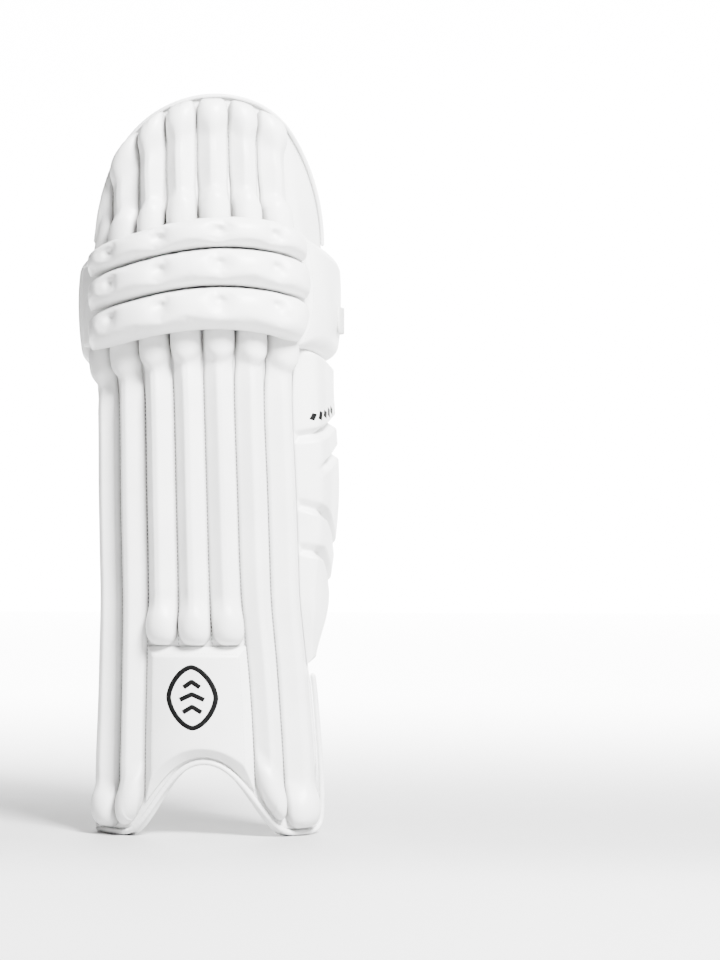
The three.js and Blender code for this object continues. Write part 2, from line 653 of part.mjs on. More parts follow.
// A strap is a flat band that runs level round the back of the leg, from the left side's inner
// face to the right side. finish gives its right end: how far past the pad's edge each place of
// it lies, and how proud of the shell. slack is how far the strap bows out behind the pad's edges.
function strap(name, z, slack, finish) {
  const left = leftEdge(z);
  const half = strapThickness / 2;
  const inside = (s) => -backingDepth(s, z, backingThickness, wingBackingThickness) - half - 1.8;
  const start = [left + 20, left + 12, left + 4].map((s) => shellPoint(s, z, inside(s)));
  const end = finish.map(({ past, proud }) => {
    const s = rightEdge(z) + past;
    return shellPoint(s, z, proud === 'inside' ? inside(s) : proud + half);
  });
  const back = Math.max(start[2].y, end[0].y) + slack;
  const middle = [0.14, 0.5, 0.86].map((share) => (
    new THREE.Vector3(lerp(start[2].x, end[0].x, share), back - Math.abs(share - 0.5) * 30, z)));
  const path = new THREE.CatmullRomCurve3([...start, ...middle, ...end], false, 'centripetal');
  const rings = range(0, 1, 28).map((share) => {
    const here = path.getPointAt(share);
    const along = path.getTangentAt(share);
    const out = new THREE.Vector3(along.y, -along.x, 0).normalize();
    return [[half, 1], [half, -1], [-half, -1], [-half, 1]].map(([side, up]) => (
      here.clone().addScaledVector(out, side).setZ(z + (up * strapWidth) / 2)));
  });
  addPiece(name, loft(rings), webbing);
}

function straps() {
  const overWing = kneeWingRise + 2 * gap;
  strap('knee_strap', kneeBottom + 14, 34, [
    { past: 10, proud: 0 },
    { past: -2, proud: 0.6 * overWing },
    { past: -15, proud: overWing },
    { past: -36, proud: overWing },
  ]);
  const insideEnd = (reach) => [4, -reach / 2, -reach].map((past) => ({ past, proud: 'inside' }));
  strap('calf_strap', padHeight * 0.46, 30, insideEnd(22));
  strap('ankle_strap', padHeight * 0.16, 62, insideEnd(10));
}

addPiece('shin_backing', shinBacking(), lining);
addPiece('flap_backing', flapBacking(), lining);
shinRolls();
flapRolls();
addPiece('knee_base', kneeBase(), leather);
['lower', 'middle', 'upper'].forEach((place, number) => addPiece(`knee_bolster_${place}`, bolster(number), leather));
addPiece('knee_wing', kneeWing(), leather);
addPiece('knee_flank', kneeFlank(), leather);
addPiece('calf_wing', calfWing(), leather);
addPiece('instep_panel', instepPanel(), leather);
bindings();
straps();

// The origin is the middle of the pad's box, on the surface it stands on.
const box = new THREE.Box3().setFromObject(group);
const centre = box.getCenter(new THREE.Vector3());
group.position.set(-centre.x, -centre.y, -box.min.z);

export default group;
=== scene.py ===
import math

import bpy
import numpy as np
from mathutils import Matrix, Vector


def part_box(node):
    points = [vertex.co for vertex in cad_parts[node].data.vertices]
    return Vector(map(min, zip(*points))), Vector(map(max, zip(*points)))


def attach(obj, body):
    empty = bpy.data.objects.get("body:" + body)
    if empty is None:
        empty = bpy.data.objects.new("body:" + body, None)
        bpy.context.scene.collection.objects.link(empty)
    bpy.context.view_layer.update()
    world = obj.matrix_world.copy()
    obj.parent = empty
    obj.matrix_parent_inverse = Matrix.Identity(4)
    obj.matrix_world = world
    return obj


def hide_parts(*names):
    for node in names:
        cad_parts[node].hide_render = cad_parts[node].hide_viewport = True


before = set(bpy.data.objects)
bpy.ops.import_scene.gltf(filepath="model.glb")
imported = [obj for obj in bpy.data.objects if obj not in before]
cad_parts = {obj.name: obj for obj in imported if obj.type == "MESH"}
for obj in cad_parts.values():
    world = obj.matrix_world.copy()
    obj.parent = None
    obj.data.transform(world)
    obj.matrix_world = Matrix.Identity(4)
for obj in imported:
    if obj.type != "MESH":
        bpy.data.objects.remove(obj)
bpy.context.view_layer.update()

camera = {
    "azimuth": math.radians(7.5),  # the camera stands this far to the right of the pad's front
    "distance": 3.0,
    "height": 0.331,
    "offAxis": math.radians(2.72),  # the pad stands left of the picture's middle
    "lens": 118.3,
}


# The camera looks level, from its place on a circle round the pad's upright axis.
def makeCamera():
    turn = camera["azimuth"]
    data = bpy.data.cameras.new("camera")
    data.lens = camera["lens"]
    data.sensor_width = 36
    data.clip_end = 30
    viewer = bpy.data.objects.new("camera", data)
    bpy.context.scene.collection.objects.link(viewer)
    away = camera["distance"]
    viewer.location = (math.sin(turn) * away, -math.cos(turn) * away, camera["height"])
    heading = turn - camera["offAxis"]
    ahead = Vector((-math.sin(heading), math.cos(heading), 0))
    viewer.rotation_euler = ahead.to_track_quat("-Z", "Y").to_euler()
    bpy.context.scene.camera = viewer


makeCamera()
print("camera placed")

# The pad's driving sizes, as the CAD model has them.
pad = {
    "height": 0.692,
    "rollPitch": 0.0305,
    "rollsAcross": 7,
    "rollTurn": math.radians(15),
    "sideLean": 0.015,
    "profileDepth": 0.016,
    "gap": 0.0005,
    "seam": 0.00035,
    "leftCorner": 0.024,
    "rightCorner": 0.070,
    "leftTurn": math.radians(86),
    "rightTurn": math.radians(84),
    "flankReach": 0.044,
    "wingReach": 0.084,
}

# One row per height: shares of the pad's height, roll pitch, lean, profile depth, right turn, and
# of the reaches to the left and to the right.
sections = np.array([
    [0.0, 1.09, -0.1, -0.9, 0.95, 0.55, 0.17],
    [0.08, 1.09, 0.0, -0.5, 0.95, 0.55, 0.17],
    [0.2, 1.04, 0.15, -0.12, 1.0, 0.55, 0.17],
    [0.235, 1.025, 0.2, -0.06, 1.0, 0.55, 0.15],
    [0.315, 0.985, 0.33, 0.0, 1.0, 0.55, 0.5],
    [0.38, 0.98, 0.42, 0.1, 1.0, 0.55, 0.75],
    [0.46, 0.975, 0.53, 0.2, 1.0, 0.55, 0.97],
    [0.587, 0.96, 0.7, 0.35, 1.0, 0.6, 1.0],
    [0.66, 1.0, 0.83, 0.45, 0.98, 0.9, 1.0],
    [0.74, 1.01, 0.9, 0.5, 0.95, 1.0, 1.0],
    [0.83, 0.97, 1.0, 0.6, 0.8, 1.0, 0.95],
    [0.9, 0.94, 1.1, 0.75, 0.72, 0.9, 0.9],
    [1.0, 0.92, 1.15, 1.1, 0.7, 0.9, 0.9],
])


# A cubic through the rows of a table, with slopes from each row's neighbours.
def readTable(table, at):
    key, values = table[:, 0], table[:, 1:]
    slope = np.zeros_like(values)
    slope[1:-1] = (values[2:] - values[:-2]) / (key[2:] - key[:-2])[:, None]
    at = np.clip(np.asarray(at, float), key[0], key[-1])
    row = np.clip(np.searchsorted(key, at) - 1, 0, len(key) - 2)
    width = (key[row + 1] - key[row])[..., None]
    u = (at - key[row])[..., None] / width
    low = values[row] * (1 + 2 * u) * (1 - u) ** 2 + slope[row] * width * u * (1 - u) ** 2
    high = values[row + 1] * u * u * (3 - 2 * u) - slope[row + 1] * width * u * u * (1 - u)
    return np.moveaxis(low + high, -1, 0)


def lerp(a, b, t):
    return a + (b - a) * t


def smoothstep(x, low, high):
    t = np.clip((x - low) / (high - low), 0, 1)
    return t * t * (3 - 2 * t)


def bell(x, width):  # 1 at the middle, 0.37 at width
    return np.exp(-(x / width) ** 2)


def section(z):
    return readTable(sections, np.asarray(z, float) / pad["height"])


def pitchAt(z):
    return pad["rollPitch"] * section(z)[0]


def rollsEdge(z):
    return pad["rollsAcross"] / 2 * pitchAt(z)


def leftEdge(z):
    return -rollsEdge(z) - pad["flankReach"] * section(z)[4]


def rightEdge(z):
    return rollsEdge(z) + pad["wingReach"] * section(z)[5]


# Round the section: a front arc under the rolls, a corner arc, then a straight run back. A place
# proud of it lies that far along its normal.
def wrap(s, z, proud):
    s, z, proud = np.broadcast_arrays(np.asarray(s, float), z, proud)
    spread, lean, front, turn = section(z)[:4]
    side = np.where(s < 0, -1.0, 1.0)
    frontRadius = pad["rollPitch"] * spread / pad["rollTurn"]
    frontTurn = pad["rollsAcross"] / 2 * pad["rollTurn"]
    cornerRadius = np.where(s < 0, pad["leftCorner"], pad["rightCorner"])
    fullTurn = np.maximum(frontTurn, np.where(s < 0, pad["leftTurn"], pad["rightTurn"] * turn))
    onFront = np.minimum(np.abs(s), frontRadius * frontTurn)
    onCorner = np.minimum(np.abs(s) - onFront, cornerRadius * (fullTurn - frontTurn))
    onRun = np.abs(s) - onFront - onCorner
    turnA = onFront / frontRadius
    turnB = turnA + onCorner / cornerRadius
    x = frontRadius * np.sin(turnA) + cornerRadius * (np.sin(turnB) - np.sin(turnA))
    y = frontRadius * (1 - np.cos(turnA)) + cornerRadius * (np.cos(turnA) - np.cos(turnB))
    x = x + onRun * np.cos(turnB) + proud * np.sin(turnB)
    y = y + onRun * np.sin(turnB) - proud * np.cos(turnB)
    return np.stack([side * x - pad["sideLean"] * lean, y + pad["profileDepth"] * front, z], -1)


foot = {
    "archHeight": 0.068,
    "archHalfWidth": 0.082,
    "archShift": 0.004,
    "leftCorner": 0.014,
    "rightCorner": 0.020,
}
flap = {"centre": 0.031, "halfWidth": 0.145, "rise": 0.187}
knee = {
    "bottom": 0.4695,
    "top": 0.575,
    "tuck": 0.009,
    "baseRise": 0.016,
    "baseRound": 0.004,
    "lowDroop": 0.0119,
    "highDroop": 0.0175,
    "from": -3 * pad["rollPitch"],
    "to": 3.5 * pad["rollPitch"],
}


# The lower edge: a raised cosine over the instep between two flat feet with round corners.
def footLine(s):
    across = np.minimum(1, np.abs(s - foot["archShift"]) / foot["archHalfWidth"])
    arch = foot["archHeight"] * 0.5 * (1 + np.cos(np.pi * across ** 1.1))
    toSide = np.minimum(s - leftEdge(0.0), rightEdge(0.0) - s)
    radius = np.where(np.asarray(s) < 0, foot["leftCorner"], foot["rightCorner"])
    inCorner = np.clip(1 - toSide / radius, 0, 1)
    return arch + radius * (1 - np.sqrt(1 - inCorner ** 2))


# The flap's outline, or a line inside it: half an ellipse.
def flapLine(s, inset=0.0):
    across = np.clip((s - flap["centre"]) / (flap["halfWidth"] - inset), -1, 1)
    return pad["height"] - flap["rise"] + (flap["rise"] - inset) * np.sqrt(1 - across ** 2)


# The knee roll's two lines fall away to both sides as a cosine does.
def kneeLow(s):
    return knee["bottom"] - knee["lowDroop"] * (1 - np.cos(0.62 * (s / pad["rollPitch"] - 0.85)))


def kneeHigh(s):
    return knee["top"] - knee["highDroop"] * (1 - np.cos(0.55 * (s / pad["rollPitch"] - 1.28)))


# The CAD model's origin is the middle of its box. The knee base's corners tell how far that is
# from the wrapped section's own origin.
def findShift():
    s = np.linspace(-3.5, 3.5, 22) * pitchAt(knee["bottom"])
    low = kneeLow(s) + knee["tuck"] + pad["seam"]
    high = kneeHigh(s) - knee["tuck"] - pad["seam"]
    corners = np.concatenate([wrap(s, z, p) for z in (low, high) for p in (2 * pad["gap"], knee["baseRise"])])
    return np.array(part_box("knee_base")[0]) - corners.min(axis=0)


shift = findShift()
print("section found, shifted by", np.round(shift, 4))


def place(s, z, proud=0.0):
    return wrap(s, z, proud) + shift


# A mesh object from points and faces, turned outward, with smooth shading. uv holds one pair per
# point, in metres. secondMaterial takes the faces that inSecond marks.
def makePiece(name, points, faces, uv, materials, inSecond=None):
    corners = [np.asarray(f) for f in faces]
    halves = [f[:, half] for f in corners for half in ([0, 1, 2], [0, 2, 3]) if max(half) < f.shape[1]]
    triangles = np.concatenate(halves)
    a, b, c = points[triangles[:, 0]], points[triangles[:, 1]], points[triangles[:, 2]]
    if np.einsum("ij,ij->i", a, np.cross(b, c)).sum() < 0:
        corners = [f[:, ::-1] for f in corners]
    mesh = bpy.data.meshes.new(name)
    mesh.from_pydata(points.tolist(), [], [face for f in corners for face in f.tolist()])
    layer = mesh.uv_layers.new(name="UVMap")
    index = np.empty(len(mesh.loops), int)
    mesh.loops.foreach_get("vertex_index", index)
    layer.data.foreach_set("uv", np.asarray(uv, float)[index].ravel())
    mesh.polygons.foreach_set("use_smooth", np.ones(len(mesh.polygons), bool))
    for material in materials:
        mesh.materials.append(material)
    if inSecond is not None:
        mesh.polygons.foreach_set("material_index", np.asarray(inSecond, int))
    mesh.update()
    piece = bpy.data.objects.new(name, mesh)
    bpy.context.scene.collection.objects.link(piece)
    return piece


# What the frame has to know of a piece: its body and the CAD node that it stands for, which is hidden.
def settle(piece, nodes=()):
    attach(piece, "root")
    if nodes:
        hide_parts(*nodes)
    return piece


# Quads between the rows of a grid, closed round each row if wrapped.
def gridFaces(rows, columns, wrapped=False):
    r = np.arange(rows - 1)[:, None]
    c = np.arange(columns if wrapped else columns - 1)[None, :]
    d = (c + 1) % columns
    near, far = r * columns, (r + 1) * columns
    return np.stack([near + c, near + d, far + d, far + c], -1).reshape(-1, 4)


# A closed body through rings of equally many points, with a fan over each end round its middle.
def loft(rings, uv):
    rows, columns = rings.shape[:2]
    points = np.concatenate([rings.reshape(-1, 3), rings[0].mean(0)[None], rings[-1].mean(0)[None]])
    uvs = np.concatenate([uv.reshape(-1, 2), uv[0].mean(0)[None], uv[-1].mean(0)[None]])
    i = np.arange(columns)
    j = (i + 1) % columns
    first = np.stack([j, i, np.full(columns, rows * columns)], -1)
    last = np.stack([i, j, np.full(columns, rows * columns + 1)], -1)
    last[:, :2] += (rows - 1) * columns
    return points, [gridFaces(rows, columns, True), first, last], uvs


# The points round a grid's border, in order.
def borderOf(rows, columns):
    grid = np.arange(rows * columns).reshape(rows, columns)
    return np.concatenate([grid[0], grid[1:-1, -1], grid[-1, ::-1], grid[1:-1, 0][::-1]])


# A sheet with a front and a back grid of the same size, joined round the border through rim loops.
def slab(front, back, uv, rims=()):
    rows, columns = front.shape[:2]
    count = rows * columns
    border = borderOf(rows, columns)
    around = len(border)
    loops = [border, *[2 * count + k * around + np.arange(around) for k in range(len(rims))], border + count]
    j = (np.arange(around) + 1) % around
    sides = [np.stack([a[j], a, b, b[j]], -1) for a, b in zip(loops[:-1], loops[1:])]
    points = np.concatenate([front.reshape(-1, 3), back.reshape(-1, 3), *rims])
    flat = uv.reshape(-1, 2)
    uvs = np.concatenate([flat, flat, *[flat[border]] * len(rims)])
    faces = gridFaces(rows, columns)
    return points, [faces, faces[:, ::-1] + count, *sides], uvs


# A shader socket with arithmetic.
class Wire:
    def __init__(self, tree, socket):
        self.tree = tree
        self.socket = socket

    # Any node: its type, its settings, then socket values or wires by name or number.
    def node(self, kind, settings=None, output=0, **inputs):
        made = self.tree.nodes.new(kind)
        for key, value in (settings or {}).items():
            setattr(made, key, value)
        for key, value in inputs.items():
            name = int(key[1:]) if key[1:].isdigit() else key.replace("_", " ")
            if isinstance(value, Wire):
                self.tree.links.new(value.socket, made.inputs[name])
            else:
                made.inputs[name].default_value = value
        return Wire(self.tree, made.outputs[output])

    def math(self, operation, *others):
        inputs = {f"i{k + 1}": other for k, other in enumerate(others)}
        return self.node("ShaderNodeMath", {"operation": operation}, i0=self, **inputs)

    def __add__(self, other):
        return self.math("ADD", other)

    __radd__ = __add__

    def __sub__(self, other):
        return self.math("SUBTRACT", other)

    def __rsub__(self, other):
        return (self * -1.0) + other

    def __mul__(self, other):
        return self.math("MULTIPLY", other)

    __rmul__ = __mul__

    def __truediv__(self, other):
        return self.math("DIVIDE", other)

    # 0 below low, 1 above high, smooth between.
    def ramp(self, low, high):
        return self.node("ShaderNodeMapRange", {"interpolation_type": "SMOOTHSTEP"}, i0=self, i1=low, i2=high)

    # A colour between two, by this wire.
    def mix(self, first, second):
        made = self.tree.nodes.new("ShaderNodeMix")
        made.data_type = "RGBA"
        self.tree.links.new(self.socket, made.inputs[0])
        for index, value in ((6, first), (7, second)):
            if isinstance(value, Wire):
                self.tree.links.new(value.socket, made.inputs[index])
            else:
                made.inputs[index].default_value = (*value, 1)
        return Wire(self.tree, made.outputs[2])


# A new material with its shader and the wires that most looks start from.
def startMaterial(name, **constants):
    material = bpy.data.materials.new(name)
    material.use_nodes = True
    tree = material.node_tree
    shader = tree.nodes["Principled BSDF"]
    for key, value in constants.items():
        shader.inputs[key.replace("_", " ")].default_value = value
    start = Wire(tree, None)
    here = start.node("ShaderNodeTexCoord", output=3)
    uv = start.node("ShaderNodeTexCoord", output=2)
    return material, tree, shader, start, here, uv


def noise(start, vector, scale, detail=2.0, roughness=0.5):
    return start.node("ShaderNodeTexNoise", Vector=vector, Scale=scale, Detail=detail, Roughness=roughness)


# Links the three varying inputs: colour, roughness, and a bump from a height in metres.
def finishMaterial(tree, shader, start, colour, roughness, height, strength=1.0):
    tree.links.new(colour.socket, shader.inputs["Base Color"])
    tree.links.new(roughness.socket, shader.inputs["Roughness"])
    bump = start.node("ShaderNodeBump", Strength=strength, Distance=1.0, Height=height)
    tree.links.new(bump.socket, shader.inputs["Normal"])


leatherLook = {
    "white": (0.78, 0.78, 0.775),
    "shade": (0.73, 0.73, 0.725),
    "crease": (0.40, 0.40, 0.395),
    "grainScale": 1100.0,
    "grainHeight": 0.00005,
    "wrinkleHeight": 0.00018,
}


# Coated leather: a fine pebble grain from cells, soft creases from stretched noise, and painted shade: grey
# in the valleys along the seams, where uv tells how far across the piece a place lies.
def leather(name, roughness=0.42, seamWidth=None):
    look = leatherLook
    material, tree, shader, start, here, uv = startMaterial(
        name, Specular_IOR_Level=0.45, Coat_Weight=0.08, Coat_Roughness=0.35)
    cells = start.node("ShaderNodeTexVoronoi", {"feature": "F1"}, Vector=here, Scale=look["grainScale"])
    soft = noise(start, here, 22.0, 3.0)
    wide = noise(start, here, 90.0, 4.0, 0.6)
    fine = noise(start, here, 500.0, 2.0)
    colour = soft.ramp(0.35, 0.7).mix(look["white"], look["shade"])
    if seamWidth:
        across = start.node("ShaderNodeSeparateXYZ", output=0, Vector=uv)
        # Painted shade: the leather turns grey within a few millimetres of each seam, where the valleys lie
        # in shade.
        toSeam = across.math("MINIMUM", across * -1.0 + seamWidth)
        paintedSeamShade = (1.0 - toSeam.ramp(0.0002, 0.0030)) * (0.45 + wide * 0.7)
        colour = paintedSeamShade.mix(colour, look["crease"])
    rough = roughness + (fine - 0.5) * 0.16 + (soft - 0.5) * 0.1
    height = cells * look["grainHeight"] + wide * look["wrinkleHeight"] + soft * 0.0004
    finishMaterial(tree, shader, start, colour, rough, height)
    return material


liningLook = {"light": (0.80, 0.80, 0.785), "dark": (0.66, 0.66, 0.65), "pitch": 0.0011}


# Brushed lining cloth: a small twill from two sine ridges across each other.
def liningCloth():
    look = liningLook
    material, tree, shader, start, here, uv = startMaterial(
        "lining_cloth", Sheen_Weight=0.25, Specular_IOR_Level=0.2)
    u = start.node("ShaderNodeSeparateXYZ", output=0, Vector=uv)
    v = start.node("ShaderNodeSeparateXYZ", output=1, Vector=uv)
    turns = 2 * math.pi / look["pitch"]
    ridge = ((u + v) * turns).math("SINE") * ((u - v) * turns).math("SINE")
    soft = noise(start, here, 40.0, 4.0)
    colour = (ridge * 0.25 + soft * 0.6).ramp(0.0, 0.75).mix(look["dark"], look["light"])
    finishMaterial(tree, shader, start, colour, 0.85 + soft * 0.1, ridge * 0.00009 + soft * 0.0002)
    return material


webbingLook = {"light": (0.80, 0.80, 0.785), "dark": (0.52, 0.52, 0.51), "rib": 0.0016}


# Webbing: chevron ribs along the strap from a triangle wave across it.
def webbingCloth():
    look = webbingLook
    material, tree, shader, start, here, uv = startMaterial(
        "webbing", Sheen_Weight=0.15, Specular_IOR_Level=0.25)
    u = start.node("ShaderNodeSeparateXYZ", output=0, Vector=uv)
    v = start.node("ShaderNodeSeparateXYZ", output=1, Vector=uv)
    fold = (v / 0.0062).math("PINGPONG", 1.0) * 0.0031
    ridge = ((u + fold * 2.0) * (2 * math.pi / look["rib"])).math("SINE")
    weft = (v * (2 * math.pi / 0.0009)).math("SINE")
    soft = noise(start, here, 60.0, 3.0)
    colour = (ridge * 0.3 + weft * 0.12 + soft * 0.7).ramp(-0.1, 0.8).mix(look["dark"], look["light"])
    finishMaterial(tree, shader, start, colour, 0.8 + soft * 0.12, ridge * 0.00014 + weft * 0.00005)
    return material


# Twisted sewing thread: slanted ridges on a matt grey.
def threadLook(name, colour):
    material, tree, shader, start, here = startMaterial(name, Specular_IOR_Level=0.3)[:5]
    soft = noise(start, here, 900.0, 2.0)
    shade = soft.mix(colour, tuple(0.75 * c for c in colour))
    finishMaterial(tree, shader, start, shade, 0.6 + soft * 0.2, soft * 0.00008)
    return material


# Black printed film, slightly raised, with a faint orange peel.
def blackFilm():
    material, tree, shader, start, here = startMaterial("black_film", Specular_IOR_Level=0.08)[:5]
    soft = noise(start, here, 260.0, 3.0)
    shade = soft.mix((0.0015, 0.0015, 0.0016), (0.003, 0.003, 0.0032))
    finishMaterial(tree, shader, start, shade, 0.5 + soft * 0.2, soft * 0.00006)
    return material


panelLeather = leather("panel_leather", 0.43)
# The roll leather carries the painted shade along its seams.
rollLeather = leather("roll_leather", 0.42, seamWidth=pad["rollPitch"])
bindingLeather = leather("binding_leather", 0.38)
cloth = liningCloth()
webbing = webbingCloth()
greyThread = threadLook("grey_thread", (0.30, 0.30, 0.30))
whiteThread = threadLook("white_thread", (0.74, 0.74, 0.73))
film = blackFilm()
print("materials made")

rolls = {
    "rise": 0.0136,
    "knuckleRise": 0.0178,
    "edgeRise": 0.0016,
    "margin": 0.007,
    "flapMargin": 0.005,
    "ridgeFrom": 0.38,
    "ridgeTo": 0.58,
    "round": 0.06,  # how softly the facets meet
    "rowStep": 0.0022,
    "pucker": 0.00018,
    "puckerLength": 0.0064,
    "puckerBeat": 0.0173,
}
instep = {"top": 0.177, "rise": 0.0095, "bevel": 0.009, "rolls": 1}

# A roll's end, from its tip: distance, height as a share of the knuckle's, width as a share of the
# roll's, how far the section is a ridge, and how round the end's outline is.
footKnuckle = np.array([
    [0.0, 0.10, 0.34, 0, 0],
    [0.0006, 0.34, 0.5, 0, 0],
    [0.002, 0.55, 0.66, 0, 0],
    [0.0055, 0.78, 0.85, 0, 0],
    [0.011, 0.93, 0.965, 0, 0],
    [0.019, 1.0, 1.0, 0, 0.2],
    [0.028, 0.96, 1.0, 0.12, 0.8],
    [0.037, 0.80, 0.99, 0.5, 1],
    [0.045, 0.735, 0.985, 0.92, 1],
    [0.056, 0.764, 1.0, 1, 1],
])
topKnuckle = np.array([
    [0.0, 0.10, 0.60, 0, 0],
    [0.0006, 0.34, 0.72, 0, 0],
    [0.002, 0.56, 0.82, 0, 0],
    [0.0055, 0.78, 0.92, 0, 0],
    [0.011, 0.92, 0.98, 0, 0],
    [0.018, 0.95, 1.0, 0.05, 0.3],
    [0.025, 0.88, 1.0, 0.3, 0.8],
    [0.036, 0.70, 0.97, 0.8, 1],
    [0.052, 0.764, 0.97, 1, 1],
])
kneeKnuckle = np.array([
    [0.0, 0.80, 0.94, 0, 0],
    [0.006, 0.93, 0.98, 0, 0],
    [0.014, 1.0, 1.0, 0, 0.3],
    [0.024, 1.0, 1.0, 0, 1],
    [0.030, 0.95, 0.98, 0.0, 1],
    [0.0345, 0.80, 0.95, 0.2, 1],
    [0.039, 0.64, 0.945, 0.7, 1],
    [0.050, 0.70, 0.985, 1, 0.6],
    [0.065, 0.764, 1.0, 1, 0],
])
footEnd = {"table": footKnuckle, "round": 0.004}
topEnd = {"table": topKnuckle, "round": 0.004}
kneeEnd = {"table": kneeKnuckle, "round": 0.0085}
bodyRow = np.array([rolls["rise"] / rolls["knuckleRise"], 1.0, 1.0, 0.0])


# A smooth lower bound of several heights: they blend within soft of each other.
def softMin(a, b, soft):
    t = np.clip(0.5 + 0.5 * (b - a) / soft, 0, 1)
    return lerp(b, a, t) - soft * t * (1 - t)


# A roll's height across its width: a dome at the knuckles, and between them two slopes and a flat
# ridge. Each facet is a straight line in w, and they meet within the rounding.
def rollHeight(w, rise, facet):
    dome = np.maximum(0, 1 - np.abs(2 * w - 1) ** 2.3) ** 0.5
    slopes = softMin(w / rolls["ridgeFrom"], (1 - w) / (1 - rolls["ridgeTo"]), 0.02)
    ridge = softMin(slopes, 1.0, rolls["round"])
    low = rolls["edgeRise"]
    return low + (rise - low) * lerp(dome, ridge, facet)


# The share of a table's row that an end adds at a distance from its tip. At the sides of the roll
# the end is over sooner, which rounds its outline.
def endShape(end, distance, w):
    side = 1 - np.sqrt(np.clip(1 - (2 * w - 1) ** 2 * 0.97, 0, 1))
    plain = readTable(end["table"], distance + 0 * w)
    rounded = readTable(end["table"], distance + end["round"] * 2 * side * plain[3])
    return np.stack([rounded[0], plain[1], rounded[2]])


# Heights along a roll: close together at its two ends, and even between.
def alongRoll(length):
    fine = np.array([0, 0.0003, 0.0008, 0.0016, 0.0028, 0.0044, 0.0064, 0.0086])
    even = np.linspace(0.0108, length - 0.0108, max(6, int((length - 0.0216) / rolls["rowStep"])))
    return np.concatenate([fine, even, length - fine[::-1]])


# How far each seam lies from its even place, in pitches: at the foot, along the shin, on the flap.
seamShares = np.arange(-3.5, 4)
seamShift = np.array([
    [0, 0.0, -0.09, -0.06, -0.03, 0.02, -0.10, 0],
    [0, -0.04, 0.0, -0.02, -0.07, -0.12, -0.12, 0],
    [0, -0.13, -0.04, -0.12, -0.12, -0.10, -0.12, 0],
])


# A share moved with the seams round it: straight between the seams, smooth between the heights.
def shifted(share, z):
    atFoot, atShin, atFlap = [np.interp(share, seamShares, row) for row in seamShift]
    below = lerp(atFoot, atShin, smoothstep(z, 0.10, 0.27))
    return share + lerp(below, atFlap, smoothstep(z, 0.40, 0.58))


# One upright roll between two lines, low and high, that give the height of its ends.
def uprightRoll(name, index, low, high, lowEnd, highEnd, fullness=1.0):
    pitch, seam, gap = pad["rollPitch"], pad["seam"], pad["gap"]
    w = 0.5 - 0.5 * np.cos(np.linspace(0, math.pi, 35))
    w = lerp(w, np.linspace(0, 1, 35), 0.45)[None, :]
    length = float(high(index * pitch) - low(index * pitch))
    along = alongRoll(length)[:, None] / length
    nearLow, nearHigh = along * length, (1 - along) * length
    base = bodyRow[:3, None, None]
    shape = base + (endShape(lowEnd, nearLow, w) - base) + (endShape(highEnd, nearHigh, w) - base)
    rise, width, facet = shape[0], np.minimum(shape[1], 1), np.clip(shape[2], 0, 1)
    share = index + (w - 0.5) * width
    z = lerp(low(share * pitch), high(share * pitch), along)
    height = rollHeight(w, rise * rolls["knuckleRise"] * fullness, facet)
    toSeam = np.minimum(w, 1 - w) * pitch
    turns = 2 * math.pi * z
    wave = np.sin(turns / rolls["puckerLength"] + 5 * index) * np.sin(turns / rolls["puckerBeat"] + 2 * index)
    height = height + rolls["pucker"] * wave * bell(toSeam - 0.002, 0.002)
    s = shifted(share, z) * pitchAt(z) - np.sign(w - 0.5) * seam
    front = place(s, z, gap + height)
    under = np.array([0.97, 0.75, 0.5, 0.25, 0.03])[None, :]
    underShare = index + (under - 0.5) * width[:, :1]
    underZ = lerp(low(underShare * pitch), high(underShare * pitch), along)
    underS = shifted(underShare, underZ) * pitchAt(underZ) - (under - 0.5) * 2 * seam
    back = place(underS, underZ, gap)
    flatS = np.concatenate([w, under], 1) * pitch
    uv = np.stack(np.broadcast_arrays(flatS, along * length + low(index * pitch)), -1)
    points, faces, uvs = loft(np.concatenate([front, back], 1), uv)
    return makePiece(name, points, faces, uvs, [rollLeather])


rollIndices = np.arange(pad["rollsAcross"]) - (pad["rollsAcross"] - 1) / 2


def underKnee(s):
    return kneeLow(s) + knee["tuck"] - pad["seam"]


def overKnee(s):
    return kneeHigh(s) - knee["tuck"] + pad["seam"]


def shinRolls():
    for number, index in enumerate(rollIndices, 1):
        if abs(index) <= instep["rolls"]:
            low = lambda s: instep["top"] + 2 * pad["seam"] + 0 * s
        else:
            low = lambda s: footLine(s) + rolls["margin"]
        piece = uprightRoll(f"padded_shin_roll_{number}", index, low, underKnee, footEnd, kneeEnd)
        settle(piece, [f"shin_roll_{number}"])


def flapTop(flat):
    share = flat / pad["rollPitch"]
    near = flapLine(share * pitchAt(pad["height"]), rolls["flapMargin"])
    return flapLine(share * pitchAt(near), rolls["flapMargin"])


def flapRolls():
    for number, index in enumerate(rollIndices, 1):
        fullness = {1: 0.45, 2: 0.88}.get(number, 1.0)
        piece = uprightRoll(f"padded_flap_roll_{number}", index, overKnee, flapTop, kneeEnd, topEnd, fullness)
        settle(piece, [f"flap_roll_{number}"])


shinRolls()
flapRolls()
print("upright rolls made")

backing = {
    "thickness": 0.018,
    "wingThickness": 0.009,
    "edgeInset": 0.0085,
    "edgeDepth": 0.0075,
    "joint": 0.535,
    "boundLeft": knee["bottom"] - 0.040,
    "boundRight": 0.149,
    "channel": 0.0016,  # how deep the seams of the rolls draw the lining in
    "puff": 0.0022,
}
zones = np.concatenate([np.full(14, -1), np.zeros(57, int), np.full(16, 1)])
shares = np.concatenate([np.linspace(1, 0, 15)[:-1], np.linspace(-3.5, 3.5, 57), np.linspace(0, 1, 17)[1:]])


# The backing's columns at a height: shares of the left flank, of the rolls, and of the right flank.
def columnsAt(z):
    left = lerp(-rollsEdge(z), leftEdge(z), shares)
    right = lerp(rollsEdge(z), rightEdge(z), shares)
    return np.where(zones < 0, left, np.where(zones > 0, right, shares * pitchAt(z)))


